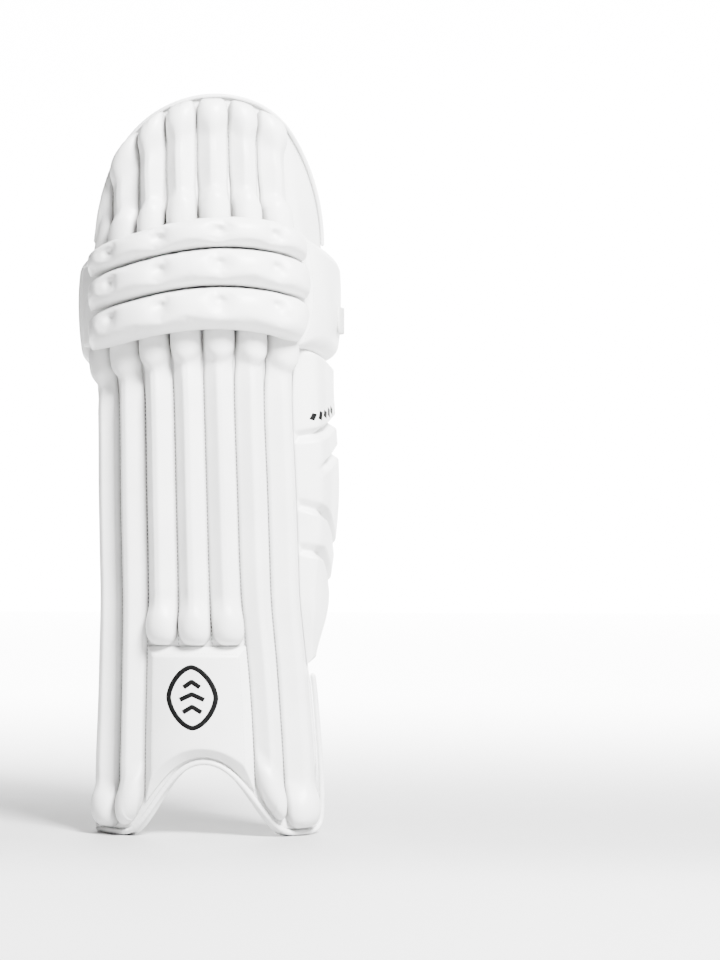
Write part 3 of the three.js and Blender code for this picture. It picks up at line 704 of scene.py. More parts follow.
# The inward direction along the bound edge, from the slope of the foot line.
def inwardAt(s):
    slope = np.clip((footLine(s + 0.0005) - footLine(s - 0.0005)) / 0.001, -6, 6)
    length = np.hypot(slope, 1)
    return -slope / length, 1 / length


# The backing is thick behind the rolls, and thins towards its sides and its foot.
def backingDepth(s, z, full, rim):
    pitch = pitchAt(z)
    past = (np.abs(s) - rollsEdge(z)) / pitch
    nearFoot = 0.6 * (1 - smoothstep(z - footLine(s), 0, 0.05))
    return lerp(full, rim, np.maximum(smoothstep(past, -0.5, 1), nearFoot))


# Where the rolls' seams pull a face in: narrow valleys at half a pitch from each roll's middle.
def seamValley(s, z, width=0.0032):
    share = s / pitchAt(z)
    toSeam = np.abs(share - np.round(share - 0.5) - 0.5) * pitchAt(z)
    return bell(toSeam, width) * (np.abs(share) < 3.6)


# One sheet of the shin backing. lift draws its foot in from the lower edge, draw its two sides.
def backingSheet(rows, lift, draw, depthOf):
    s0 = columnsAt(np.zeros(len(zones)))
    inX, inZ = inwardAt(s0)
    z0 = footLine(s0) + inZ * lift
    z = lerp(z0, backing["joint"], rows[:, None])
    reach = 1 - smoothstep(rows, 0, 0.14)[:, None]
    s = columnsAt(z) + (s0 + inX * lift - columnsAt(z0 + 0 * z)) * reach
    left = draw * (lift > 0) * smoothstep(backing["boundLeft"] + 0.036 - z, 0, 0.030)
    right = draw * (lift > 0) * smoothstep(backing["boundRight"] + 0.036 - z, 0, 0.030)
    s = np.where(s < 0, s * (1 + left / leftEdge(z)), s * (1 - right / rightEdge(z)))
    return s, z, depthOf(s, z)


# Shin backing: a front and a back sheet joined by a rounded rim. The back is drawn in along the
# seams of the rolls, and swells a little between them.
def shinBacking():
    rows = np.concatenate([np.linspace(0, 0.12, 26)[:-1], np.linspace(0.12, 1, 110)])
    border = borderOf(len(rows), len(zones))

    def full(s, z):
        return backingDepth(s, z, backing["thickness"], backing["wingThickness"])

    def sheet(lift, draw, depthOf):
        s, z, depth = backingSheet(rows, lift, draw, depthOf)
        return place(s, z, -depth), s, z

    front, s, z = sheet(backing["edgeInset"], backing["edgeInset"], lambda s, z: 0 * s)
    flank = bell(s - (-rollsEdge(z) + leftEdge(z)) / 2, 0.007) * (s < 0) * smoothstep(z, 0.01, 0.05)
    front = place(s, z, backing["puff"] * flank * (z < 0.46))
    steps = [(0.0064, 0.12), (0.0042, 0.34), (0.0018, 0.56), (0.0004, 0.72), (0.0, 0.82), (0.0008, 0.92)]
    rims = []
    for inset, share in steps:
        edge = lambda s, z: np.minimum(backing["edgeDepth"] * share / 0.72, full(s, z) * share)
        rims.append(sheet(inset, inset, edge)[0].reshape(-1, 3)[border])
    back, s, z = sheet(0.0024, 0.0024, full)
    channel = backing["channel"] * (seamValley(s, z, 0.005) - 0.25) * smoothstep(z - footLine(s), 0.012, 0.03)
    back = place(s, z, -full(s, z) + channel)
    points, faces, uvs = slab(front, back, np.stack([s, z], -1), rims)
    frontCount = len(faces[0])
    inLining = np.ones(sum(len(f) for f in faces))
    inLining[:frontCount] = 0
    inLining[2 * frontCount:2 * frontCount + 4 * len(border)] = 0
    piece = makePiece("padded_shin_backing", points, faces, uvs, [panelLeather, cloth], inLining)
    settle(piece, ["shin_backing"])


flapShape = {"thickness": 0.014, "rim": 0.007, "reach": 0.975, "puff": 0.0030}


# One sheet of the flap backing: its stations lie close together at the outline's two ends.
def flapSheet(rows, inset):
    turn = np.linspace(-1, 1, 81) * math.pi / 2
    s = flap["centre"] + (flap["halfWidth"] - inset) * flapShape["reach"] * np.sin(turn) + 0 * rows[:, None]
    return s, lerp(backing["joint"] + 2 * pad["seam"], flapLine(s, inset), rows[:, None])


def flapBacking():
    rows = np.concatenate([np.linspace(0, 0.85, 50)[:-1], np.linspace(0.85, 1, 16)])
    border = borderOf(len(rows), 81)
    s, z = flapSheet(rows, 0.0016)
    panel = smoothstep(s - rollsEdge(z), 0.002, 0.014) * smoothstep(flapLine(s, 0.004) - z, 0.0, 0.02)
    side = smoothstep(flap["centre"] + flap["halfWidth"] - s, 0.004, 0.02)
    front = place(s, z, flapShape["puff"] * panel * side)
    rims = []
    for inset, depth in [(0.0005, 0.0009), (0.0, 0.0024), (0.0, 0.0046), (0.0005, 0.0061)]:
        rims.append(place(*flapSheet(rows, inset), -depth).reshape(-1, 3)[border])
    s, z = flapSheet(rows, 0.0016)
    inner = np.clip((flapLine(s) - z) / 0.030, 0, 1) * np.clip((1 - rows[:, None]) * 8, 0, 1)
    depth = lerp(flapShape["rim"], backingDepth(s, z, flapShape["thickness"], flapShape["rim"]), inner)
    back = place(s, z, -depth + backing["channel"] * (seamValley(s, z, 0.005) - 0.25) * inner)
    points, faces, uvs = slab(front, back, np.stack([s, z], -1), rims)
    frontCount = len(faces[0])
    inLining = np.ones(sum(len(f) for f in faces))
    inLining[:frontCount] = 0
    inLining[2 * frontCount:2 * frontCount + 3 * len(border)] = 0
    piece = makePiece("padded_flap_backing", points, faces, uvs, [panelLeather, cloth], inLining)
    settle(piece, ["flap_backing"])


# 0 at a border and 1 from radius on, along a quarter circle.
def roundEdge(distance, radius):
    t = np.clip(distance / radius, 0, 1)
    return np.sqrt(np.maximum(0, 1 - (1 - t) ** 2))


bolsters = {
    "rise": 0.025,
    "radius": 0.018,
    "levels": ["lower", "middle", "upper"],
    "joints": [0, 0.383, 0.722, 1],
    "tufts": [-1.9, -0.55, 0.88, 2.28],
    "tuftUp": np.radians([16, 9, 3]),  # the tufts sit this far above a bolster's middle
    "tuftDepth": 0.0088,
    "slack": 0.93,
    "pressure": 4.0,
    "cap": 0.005,
    "upShare": 0.15,
}


# The knee roll's right end bows: it lies further left at its top, and most at its bottom.
def rightBow(z):
    below = np.clip((0.503 - z) / 0.045, 0, 1.2)
    above = np.clip((z - 0.503) / 0.060, 0, 1.2)
    return -0.011 * below ** 2 - 0.005 * above ** 2


# A bolster before it is blown up: a half-round section on a flat base, which closes at both ends,
# bows at its right end beside the wing, and dips at each tuft.
def bolsterRings(number, stations, angles):
    unit = pad["rollPitch"]
    s = stations[:, None]
    fromLeft = np.clip((s - knee["from"]) / (1.25 * unit), 0, 1)
    fromRight = np.clip((knee["to"] - s) / (0.9 * unit), 0, 1)
    left = np.sin(fromLeft * math.pi / 2) ** 0.8
    right = np.sin(fromRight * math.pi / 2) ** 0.6
    swell = lerp(0.1, 1, np.minimum(left, lerp(0.12, 1, right)))
    low = lerp(kneeLow(s), kneeHigh(s), bolsters["joints"][number])
    high = lerp(kneeLow(s), kneeHigh(s), bolsters["joints"][number + 1])
    half = ((high - low) / 2 - pad["seam"]) * lerp(0.78, 1, swell)
    angle = angles[None, :]
    upToTuft = (angle - bolsters["tuftUp"][number]) * bolsters["radius"]
    toTuft = np.min([np.hypot(s - t * unit, upToTuft) for t in bolsters["tufts"]], axis=0)
    dip = bolsters["tuftDepth"] * (0.55 * bell(toTuft, 0.0032) + 0.45 * bell(toTuft, 0.0095)) * swell
    rise = bolsters["rise"] * swell * np.cos(angle) ** 0.72 * bolsters["slack"] - dip
    up = half * np.sign(angle) * np.abs(np.sin(angle)) ** 0.85
    bowed = smoothstep(s, knee["to"] - 0.055, knee["to"])
    z = (low + high) / 2 + up
    front = place(s + rightBow(z) * bowed, z, knee["baseRise"] + pad["gap"] + np.maximum(rise, 0))
    under = np.array([0.6, 0.0, -0.6])[None, :]
    z = (low + high) / 2 + half * under
    back = place(s + rightBow(z) * bowed, z, knee["baseRise"] + pad["gap"])
    pinned = np.concatenate([bell(toTuft, 0.0035) + (np.abs(angle) > 1.5), 1 + 0 * (s + under)], 1)
    ends = (stations < knee["from"] + 0.004) | (stations > knee["to"] - 0.003)
    pinned[ends] = 1
    return np.concatenate([front, back], 1), np.clip(pinned, 0, 1)


# Blows padded pieces up as cloth under pressure, all at once, and keeps the shape they come to. No
# point moves further than cap from where it started, and up or down only a part of its way, so that
# neighbours still touch.
def blowUp(pieces, pressure, cap, frames=20):
    scene = bpy.context.scene
    before = {}
    for piece in pieces:
        before[piece.name] = np.array([v.co for v in piece.data.vertices])
        cover = piece.modifiers.new("cloth", "CLOTH")
        settings = cover.settings
        settings.quality = 6
        settings.mass = 0.3
        settings.tension_stiffness = 18
        settings.compression_stiffness = 18
        settings.shear_stiffness = 8
        settings.bending_stiffness = 1.5
        settings.use_pressure = True
        settings.uniform_pressure_force = pressure
        settings.vertex_group_mass = "pinned"
        settings.shrink_min = -0.02
        settings.effector_weights.gravity = 0
        cover.collision_settings.use_collision = False
        cover.collision_settings.use_self_collision = False
    for step in range(1, frames + 1):
        scene.frame_set(step)
    shapes = {}
    for piece in pieces:
        mesh = piece.evaluated_get(bpy.context.evaluated_depsgraph_get()).data
        after = np.array([v.co for v in mesh.vertices])
        move = (after - before[piece.name]) * np.array([1, 1, bolsters["upShare"]])
        far = np.linalg.norm(move, axis=1, keepdims=True)
        shapes[piece.name] = before[piece.name] + move * np.minimum(1, cap / np.maximum(far, 1e-9))
        print(piece.name, "moved up to", round(float(far.max()) * 1000, 1), "mm")
    for piece in pieces:
        piece.modifiers.clear()
        piece.data.vertices.foreach_set("co", shapes[piece.name].ravel())
        piece.data.update()
    scene.frame_set(1)


def kneeBolsters():
    stations = np.concatenate([
        knee["from"] + np.array([0, 0.0006, 0.0016, 0.0032]),
        np.linspace(knee["from"] + 0.0052, knee["to"] - 0.0042, 92),
        knee["to"] - np.array([0.0022, 0.001, 0]),
    ])
    angles = np.linspace(-math.pi / 2, math.pi / 2, 31)
    made = []
    for number, level in enumerate(bolsters["levels"]):
        rings, pinned = bolsterRings(number, stations, angles)
        around = rings.shape[1]
        uv = np.stack(np.broadcast_arrays(stations[:, None], np.arange(around)[None, :] * 0.0012), -1)
        points, faces, uvs = loft(rings, uv)
        piece = makePiece(f"padded_knee_bolster_{level}", points, faces, uvs, [panelLeather])
        group = piece.vertex_groups.new(name="pinned")
        weights = np.append(pinned.ravel(), [1, 1])
        for k in np.nonzero(weights > 0.02)[0]:
            group.add([int(k)], float(weights[k]), "REPLACE")
        made.append(piece)
    blowUp(made, bolsters["pressure"], bolsters["cap"])
    for piece, level in zip(made, bolsters["levels"]):
        smooth = piece.modifiers.new("smooth", "SUBSURF")
        smooth.levels = 1
        smooth.render_levels = 1
        settle(piece, [f"knee_bolster_{level}"])


# The panel behind the bolsters: a flat band with rounded edges, along the two knee lines.
def kneeBase():
    s = (np.linspace(-3.5, 3.5, 90) * pitchAt(knee["bottom"]))[:, None]
    low = kneeLow(s) + knee["tuck"] + pad["seam"]
    high = kneeHigh(s) - knee["tuck"] - pad["seam"]
    turn = np.linspace(0, math.pi / 2, 5)
    radius, top, back = knee["baseRound"], knee["baseRise"], 2 * pad["gap"]
    inward, sunk = radius * (1 - np.cos(turn)), radius * (1 - np.sin(turn))
    alongZ = np.concatenate([low + inward, high - inward[::-1], high, low], 1)
    proud = np.concatenate([top - sunk, top - sunk[::-1], [back, back]])
    rings = place(s, alongZ, proud)
    uv = np.stack(np.broadcast_arrays(s, alongZ), -1)
    points, faces, uvs = loft(rings, uv)
    piece = makePiece("padded_knee_base", points, faces, uvs, [panelLeather])
    settle(piece, ["knee_base"])


# One row or column of a front grid, with the grid's outward direction at each of its points.
def gridLine(front, row=None, column=None):
    normal = np.cross(np.gradient(front, axis=1), np.gradient(front, axis=0))
    normal = normal / np.maximum(np.linalg.norm(normal, axis=-1, keepdims=True), 1e-12)
    if np.mean(np.sum(normal * (front - front.mean((0, 1)) + np.array([0, -0.02, 0])), -1)) < 0:
        normal = -normal
    return (front[row], normal[row]) if column is None else (front[:, column], normal[:, column])


# A stuffed panel between two edges in s and two lines in z. Its height is a crown across and up
# it, times a rounded edge; its far corners are cut back along a quarter circle.
def stuffedPanel(name, panel, near, far, low, high):
    across = (0.5 - 0.5 * np.cos(np.linspace(0, math.pi, 57)))[None, :]
    up = (0.5 - 0.5 * np.cos(np.linspace(0, math.pi, 81)))[:, None]
    middle = lerp(near, far, across)
    inCorner = np.clip(1 - (1 - across) / 0.3, 0, 1)
    draw = panel["corner"] * (1 - np.sqrt(1 - inCorner ** 2))
    z = lerp(low(middle), high(middle), lerp(draw, 1 - draw, up))
    s = middle + panel["bow"] * rightBow(z) * (1 - across) ** 2
    tall = high(middle) - low(middle)
    edge = np.minimum(np.minimum(across, 1 - across) * abs(far - near), np.minimum(up, 1 - up) * tall)
    nearSide = lerp(panel["nearRise"], panel["rise"], smoothstep(across, 0, 0.45))
    crown = nearSide * (1 - panel["fall"] * np.abs(2 * up - 1) ** 2.4) * (1 - panel["fall"] * across ** 5)
    border = lerp(panel["nearEdge"], panel["edgeRise"], smoothstep(across, 0.02, 0.2))
    radius = lerp(0.006, panel["round"], smoothstep(across, 0, 0.25))
    height = border + (crown - border) * roundEdge(edge, radius)
    height = height + panel["wrinkle"] * np.sin(z / 0.0031) * bell(edge - 0.004, 0.003)
    front = place(s, z, pad["gap"] + height)
    back = place(s, z, pad["gap"] * 2.5)
    points, faces, uvs = slab(front, back, np.stack([s, z], -1))
    return makePiece(name, points, faces, uvs, [panelLeather]), front


kneeWing = {
    "rise": 0.0225,
    "nearRise": 0.0200,
    "nearEdge": 0.0120,
    "edgeRise": 0.0025,
    "fall": 0.22,
    "round": 0.016,
    "corner": 0.16,
    "bow": 1.0,
    "wrinkle": 0.0002,
}
kneeFlank = {
    "rise": 0.0150,
    "nearRise": 0.0085,
    "nearEdge": 0.0020,
    "edgeRise": 0.0020,
    "fall": 0.2,
    "round": 0.014,
    "corner": 0.16,
    "bow": 0.0,
    "wrinkle": 0.0002,
}
seamLines = {}  # rows of stitches wait here for the sewing: each a path and its outward directions


def kneeSides():
    seam = pad["seam"]
    unit = rollsEdge(knee["bottom"])
    piece, front = stuffedPanel(
        "padded_knee_wing", kneeWing, knee["to"] + 2 * seam + 0.001, unit + pad["wingReach"],
        lambda s: kneeLow(knee["to"]) - 0.2 * (s - knee["to"]) + seam,
        lambda s: kneeHigh(knee["to"]) - 0.24 * (s - knee["to"]) - seam)
    settle(piece, ["knee_wing"])
    seamLines["knee_wing_front"] = gridLine(front, column=9)
    seamLines["knee_wing_back"] = gridLine(front, column=-7)
    piece, front = stuffedPanel(
        "padded_knee_flank", kneeFlank, -rollsEdge(knee["bottom"] + 0.04) - 0.002, -unit - pad["flankReach"],
        lambda s: kneeLow(knee["from"]) - 0.006 + 0.1 * (s - knee["from"]),
        lambda s: kneeHigh(knee["from"]) + 0.1 * (s - knee["from"]))
    settle(piece, ["knee_flank"])
    seamLines["knee_flank_back"] = gridLine(front, column=-7)


calf = {"rise": 0.012, "swell": 0.8, "foot": 0.158, "grooveDepth": 0.0105, "grooveHalf": 0.0066, "bend": 0.35}
# Heights of each groove at the front seam, its bend and the back edge as shares of the pad's
# height, then its depths at the seam and at the back as shares of the groove's depth.
grooves = np.array([
    [0.385, 0.378, 0.325, 0.55, 1.0],
    [0.446, 0.431, 0.375, 0.55, 1.0],
    [0.485, 0.5, 0.522, 0.0, 0.9],
    [0.536, 0.546, 0.563, 0.7, 1.0],
])


# The calf wing's height over the backing: a swelling that falls away at its edges, less the
# deepest groove at that place, each a valley with straight sides.
def calfHeight(across, z):
    swell = lerp(0.3, 1, smoothstep(z, calf["foot"], calf["foot"] + 0.060))
    swell = swell + calf["swell"] * np.sin(math.pi * np.clip((z - 0.230) / 0.240, 0, 1))
    bulge = smoothstep(across, -0.05, 0.22) * (1 - 0.5 * smoothstep(across, 0.86, 1))
    body = 0.003 + (calf["rise"] - 0.003) * bulge * swell
    deepest = 0
    for seamAt, bendAt, backAt, seamDepth, backDepth in grooves:
        front = lerp(seamAt, bendAt, across / calf["bend"])
        rear = lerp(bendAt, backAt, (across - calf["bend"]) / (1 - calf["bend"]))
        line = pad["height"] * np.where(across < calf["bend"], front, rear)
        depth = calf["grooveDepth"] * lerp(seamDepth, backDepth, smoothstep(across, 0.1, 0.45))
        valley = 1 - softMin(np.abs(z - line) / calf["grooveHalf"], 1.0, 0.18)
        deepest = np.maximum(deepest, depth * valley)
    return np.maximum(0.0024, body - deepest)


def calfTop(s):
    return kneeLow(np.minimum(s, knee["to"])) - 0.2 * np.maximum(0, s - knee["to"]) - pad["seam"]


def calfAcross(s, z):
    near = rollsEdge(z) + pad["seam"] + 0.0003
    return (s - near) / (rightEdge(z) - 0.001 - near)


def calfWing():
    across = lerp(0.5 - 0.5 * np.cos(np.linspace(0, math.pi, 73)), np.linspace(0, 1, 73), 0.5)[None, :]
    up = np.linspace(0, 1, 230)
    up = lerp(0.5 - 0.5 * np.cos(up * math.pi), up, 0.8)[:, None]
    low = calf["foot"] + 0.006 * across
    top = calfTop(lerp(rollsEdge(knee["bottom"]), rightEdge(knee["bottom"]), across))
    z = lerp(low, top, up)
    s = lerp(rollsEdge(z) + pad["seam"] + 0.0003, rightEdge(z) - 0.001, across)
    toSide = np.minimum(across, 1 - across) * (rightEdge(z) - rollsEdge(z))
    edge = np.minimum(toSide, np.minimum(z - low, top - z))
    height = 0.0013 + (calfHeight(across, z) - 0.0013) * roundEdge(edge, 0.006)
    front = place(s, z, pad["gap"] + height)
    back = place(s, z, pad["gap"] * 2.4)
    points, faces, uvs = slab(front, back, np.stack([s, z], -1))
    piece = makePiece("padded_calf_wing", points, faces, uvs, [panelLeather])
    settle(piece, ["calf_wing"])
    seamLines["calf_wing_back"] = gridLine(front, column=-6)


# The instep panel: flat, with a straight bevel along each of its four edges.
def instepHeight(toEdge):
    return 0.0018 + (instep["rise"] - 0.0018) * softMin(toEdge / instep["bevel"], 1.0, 0.12)


def instepPanel():
    half = instep["rolls"] + 0.5
    unit = pad["rollPitch"]
    across = lerp(0.5 - 0.5 * np.cos(np.linspace(0, math.pi, 91)), np.linspace(0, 1, 91), 0.6)[None, :]
    up = lerp(0.5 - 0.5 * np.cos(np.linspace(0, math.pi, 91)), np.linspace(0, 1, 91), 0.6)[:, None]
    share = lerp(-half, half, across)
    low = footLine(share * unit) + rolls["margin"]
    high = instep["top"] - pad["seam"]
    z = lerp(low, high, up)
    s = shifted(share, z) * pitchAt(z) - np.sign(across - 0.5) * pad["seam"]
    sideEdge = np.minimum(across, 1 - across) * 2 * half * unit
    slope = np.abs(np.gradient(low, axis=1) / np.gradient(share * unit, axis=1))
    lowEdge = (z - low) / np.sqrt(1 + slope ** 2) * 1.15
    toEdge = softMin(softMin(sideEdge, high - z, 0.0008), lowEdge, 0.0008)
    front = place(s, z, pad["gap"] + instepHeight(np.maximum(toEdge, 0)))
    back = place(s, z, pad["gap"])
    points, faces, uvs = slab(front, back, np.stack([s, z], -1))
    piece = makePiece("padded_instep_panel", points, faces, uvs, [panelLeather])
    settle(piece, ["instep_panel"])
    inner = front[8:-8, 12:-12]
    seamLines["instep_top"] = gridLine(inner, row=-1)
    seamLines["instep_left"] = gridLine(inner, column=0)
    seamLines["instep_right"] = gridLine(inner, column=-1)


bindings = {"footRadius": 0.0026, "topRadius": 0.0018, "sides": 14, "step": 0.0016, "ripple": 0.00012}


# A path resampled at even steps, from its places in s, z and proud, after a little smoothing.
def evenPath(path, step, passes=0):
    for _ in range(passes):
        path = np.concatenate([path[:1], (path[:-2] + 2 * path[1:-1] + path[2:]) / 4, path[-1:]])
    length = np.concatenate([[0], np.cumsum(np.linalg.norm(np.diff(path, axis=0), axis=1))])
    at = np.linspace(0, length[-1], max(2, int(length[-1] / step)) + 1)
    return np.stack([np.interp(at, length, path[:, k]) for k in range(path.shape[1])], -1), at


# A round cord of leather along a path on the pad: circles across it, with a small ripple where
# the stitches pull, and closed ends.
def bindingCord(name, path, radius, node):
    path, at = evenPath(path, bindings["step"], passes=6)
    along = np.gradient(path[:, :2], axis=0)
    along = along / np.linalg.norm(along, axis=1, keepdims=True)
    angle = np.linspace(0, 2 * math.pi, bindings["sides"], endpoint=False)[None, :]
    swell = radius + bindings["ripple"] * np.sin(2 * math.pi * at / 0.0052)
    swell = (swell * roundEdge(np.minimum(at, at[-1] - at) + 0.0002, radius))[:, None]
    s = path[:, :1] - along[:, 1:] * np.cos(angle) * swell
    z = path[:, 1:2] + along[:, :1] * np.cos(angle) * swell
    rings = place(s, z, path[:, 2:3] + np.sin(angle) * swell)
    uv = np.stack(np.broadcast_arrays(at[:, None], angle * radius), -1)
    points, faces, uvs = loft(rings, uv)
    settle(makePiece(name, points, faces, uvs, [bindingLeather]), [node])


# The pad's bound edge: down the left side, along the foot and up the right side, moved in.
def boundEdge(inset):
    leftZ = np.linspace(backing["boundLeft"], foot["leftCorner"] + 0.014, 80)
    rightZ = np.linspace(foot["rightCorner"] + 0.014, backing["boundRight"], 40)
    s0 = columnsAt(np.zeros(len(zones)))
    inX, inZ = inwardAt(s0)
    return np.concatenate([
        np.stack([leftEdge(leftZ) + inset, leftZ], -1),
        np.stack([s0 + inX * inset, footLine(s0) + inZ * inset], -1),
        np.stack([rightEdge(rightZ) - inset, rightZ], -1),
    ])


def flapRim(inset, reach=0.965):
    turn = np.linspace(-1, 1, 161)[4:-4] * math.pi / 2
    s = flap["centre"] + (flap["halfWidth"] - inset) * reach * np.sin(turn)
    return np.stack([s, flapLine(s, inset)], -1)


def addProud(path, proud):
    return np.concatenate([path, np.full((len(path), 1), proud)], 1)


def bindingPieces():
    radius = bindings["footRadius"]
    bindingCord("foot_piping", addProud(boundEdge(radius + 0.0003), 0.0), radius, "foot_binding")
    radius = bindings["topRadius"]
    bindingCord("top_piping", addProud(flapRim(radius + 0.0006), radius + pad["gap"]), radius, "top_binding")


straps = {"width": 0.025, "thickness": 0.0024, "clear": 0.0018}


# A smooth curve through points, with more of its length where they lie further apart.
def curveThrough(points, count):
    points = np.array(points)
    key = np.concatenate([[0], np.cumsum(np.linalg.norm(np.diff(points, axis=0), axis=1) ** 0.5)])
    key = key / key[-1]
    return readTable(np.column_stack([key, points]), np.linspace(0, 1, count)).T


# A flat strap level round the back of the leg: a thin rounded section carried along its path.
def strap(name, z, slack, finish, node):
    half = straps["thickness"] / 2
    left = float(leftEdge(z))

    def inside(s):
        return -backingDepth(s, z, backing["thickness"], backing["wingThickness"]) - half - straps["clear"]

    start = [place(s, z, inside(s)) for s in (left + 0.020, left + 0.012, left + 0.004)]
    end = []
    for past, proud in finish:
        s = float(rightEdge(z)) + past
        end.append(place(s, z, inside(s) if proud is None else proud + half))
    back = max(start[2][1], end[0][1]) + slack
    middle = []
    for t in (0.14, 0.5, 0.86):
        middle.append(np.array([lerp(start[2][0], end[0][0], t), back - abs(t - 0.5) * 0.030, z]))
    path, at = evenPath(curveThrough([*start, *middle, *end], 400), 0.0022)
    along = np.gradient(path, axis=0)
    out = np.stack([along[:, 1], -along[:, 0], 0 * at], -1)
    out = out / np.linalg.norm(out, axis=1, keepdims=True)
    across = np.array([-1, -0.96, -0.6, -0.2, 0.2, 0.6, 0.96, 1, 1, 0.96, 0.6, 0.2, -0.2, -0.6, -0.96, -1])
    thick = np.array([0.5, 0.95, 1, 1, 1, 1, 0.95, 0.5, -0.5, -0.95, -1, -1, -1, -1, -0.95, -0.5])
    rings = path[:, None, :] + out[:, None, :] * (thick * half)[None, :, None]
    rings = rings + np.array([0, 0, 1.0]) * (across * straps["width"] / 2)[None, :, None]
    uv = np.stack(np.broadcast_arrays(at[:, None], (across * straps["width"] / 2)[None, :]), -1)
    points, faces, uvs = loft(rings, uv)
    settle(makePiece(name, points, faces, uvs, [webbing]), [node])
    print(name, "is", round(at[-1] * 1000), "mm long")


def strapPieces():
    over = 0.021 + 2 * pad["gap"]
    strap("knee_strap_webbing", knee["bottom"] + 0.014, 0.034,
          [(0.010, 0.0), (-0.002, 0.6 * over), (-0.015, over), (-0.036, over)], "knee_strap")
    strap("calf_strap_webbing", 0.46 * pad["height"], 0.030,
          [(0.004, None), (-0.011, None), (-0.022, None)], "calf_strap")
    strap("ankle_strap_webbing", 0.16 * pad["height"], 0.062,
          [(0.004, None), (-0.005, None), (-0.010, None)], "ankle_strap")


shinBacking()
flapBacking()
print("backing made")
kneeBase()
kneeBolsters()
kneeSides()
print("knee roll made")
calfWing()
instepPanel()
print("wings and instep panel made")
bindingPieces()
strapPieces()
print("bindings and straps made")

stitches = {
    "length": 0.0024,
    "step": 0.0037,
    "edgeStep": 0.0032,
    "radius": 0.00036,
    "sides": 6,
    "overFoot": 0.016,  # the seams' stitches start this far above the foot line
    "underKnee": 0.047,
    "overKnee": 0.044,
    "underTop": 0.020,
}


# The same line in s, z and proud as a path with outward directions.
def faceLine(path):
    here = place(path[:, 0], path[:, 1], path[:, 2])
    out = place(path[:, 0], path[:, 1], path[:, 2] + 0.001) - here
    return here, out / np.linalg.norm(out, axis=1, keepdims=True)


# Sews along lines: every stitch is the same small capsule, laid along its line and bent down at
# its ends. Point = middle + along * t + across * u + out * v, for all stitches and points at once.
# The outward directions are made small beside the path, so that only the path sets the steps.
def sew(name, lines, thread, step):
    t = np.array([-1, -0.86, -0.5, 0, 0.5, 0.86, 1.0])
    thick = np.array([0.25, 0.75, 1, 1, 1, 0.75, 0.25])
    turn = np.linspace(0, 2 * math.pi, stitches["sides"], endpoint=False)
    radius, half = stitches["radius"], stitches["length"] / 2 * step / stitches["step"]
    capsule = np.stack(np.broadcast_arrays(
        t[:, None] * half,
        thick[:, None] * radius * np.cos(turn),
        thick[:, None] * radius * np.sin(turn) - 0.7 * radius * t[:, None] ** 2), -1)
    template, faces, _ = loft(capsule, capsule[..., :2])
    places, alongs, outs = [], [], []
    for path, out in lines:
        both = evenPath(np.concatenate([path, 0.0001 * out], 1), step)[0]
        middle = (both[1:, :3] + both[:-1, :3]) / 2
        along = both[1:, :3] - both[:-1, :3]
        places.append(middle)
        alongs.append(along / np.linalg.norm(along, axis=1, keepdims=True))
        outs.append((both[1:, 3:] + both[:-1, 3:]) / 2)
    middle, along, out = np.concatenate(places), np.concatenate(alongs), np.concatenate(outs)
    across = np.cross(out, along)
    across = across / np.linalg.norm(across, axis=1, keepdims=True)
    out = np.cross(along, across)
    points = (middle[:, None] + along[:, None] * template[None, :, :1]
              + across[:, None] * template[None, :, 1:2] + out[:, None] * template[None, :, 2:3])
    offset = (np.arange(len(middle)) * len(template))[:, None, None]
    everyFace = [(f[None] + offset).reshape(-1, f.shape[1]) for f in faces]
    uv = np.tile(template[:, :2], (len(middle), 1))
    settle(makePiece(name, points.reshape(-1, 3), everyFace, uv, [thread]))
    print(name, len(middle), "stitches")


# The seams between the rolls, below the knee roll and above it.
def rollSeams():
    shin, top = [], []
    for share in np.arange(-2.5, 3):
        unit = share * pad["rollPitch"]
        low, high = footLine(unit) + stitches["overFoot"], kneeLow(unit) - stitches["underKnee"]
        z = np.linspace(float(low), float(high), 200)
        shin.append(faceLine(np.column_stack([shifted(share, z) * pitchAt(z), z, 0.0024 + 0 * z])))
        low, high = kneeHigh(unit) + stitches["overKnee"], flapTop(unit) - stitches["underTop"]
        z = np.linspace(float(low), float(high), 80)
        top.append(faceLine(np.column_stack([shifted(share, z) * pitchAt(z), z, 0.0022 + 0 * z])))
    return shin, top


# Beside the bound edge left and right of the rolls, and along the flap's rim right of them.
def edgeLines():
    edge = boundEdge(0.0098)
    outside = (edge[:, 0] < -rollsEdge(edge[:, 1]) - 0.003) & (edge[:, 1] > 0.012)
    left = addProud(edge[outside], 0.0006)
    outside = (edge[:, 0] > rollsEdge(edge[:, 1]) + 0.003) & (edge[:, 1] > 0.012)
    right = addProud(edge[outside], 0.0003)
    rim = flapRim(0.0062)
    rim = addProud(rim[rim[:, 0] > rollsEdge(rim[:, 1]) + 0.004], 0.0008)
    return [faceLine(left), faceLine(right), faceLine(rim)]


def sewing():
    shin, top = rollSeams()
    sew("shin_seam_stitches", shin, greyThread, stitches["step"])
    sew("flap_seam_stitches", top, whiteThread, stitches["step"])
    sew("edge_stitches", edgeLines() + list(seamLines.values()), whiteThread, stitches["edgeStep"])


badge = {
    "s": -0.0045,
    "z": 0.130,
    "halfWidth": 0.0205,
    "halfHeight": 0.028,
    "bow": 1.24,  # 1 gives an ellipse, 2 a lozenge with straight sides
    "halfBand": 0.0022,
    "chevrons": [(-0.0135, 0.0080), (-0.0020, 0.0105), (0.0095, 0.0070)],  # height and half width of each
    "chevronRise": 0.0052,
    "halfStroke": 0.0021,
}
filmRaise = 0.00035


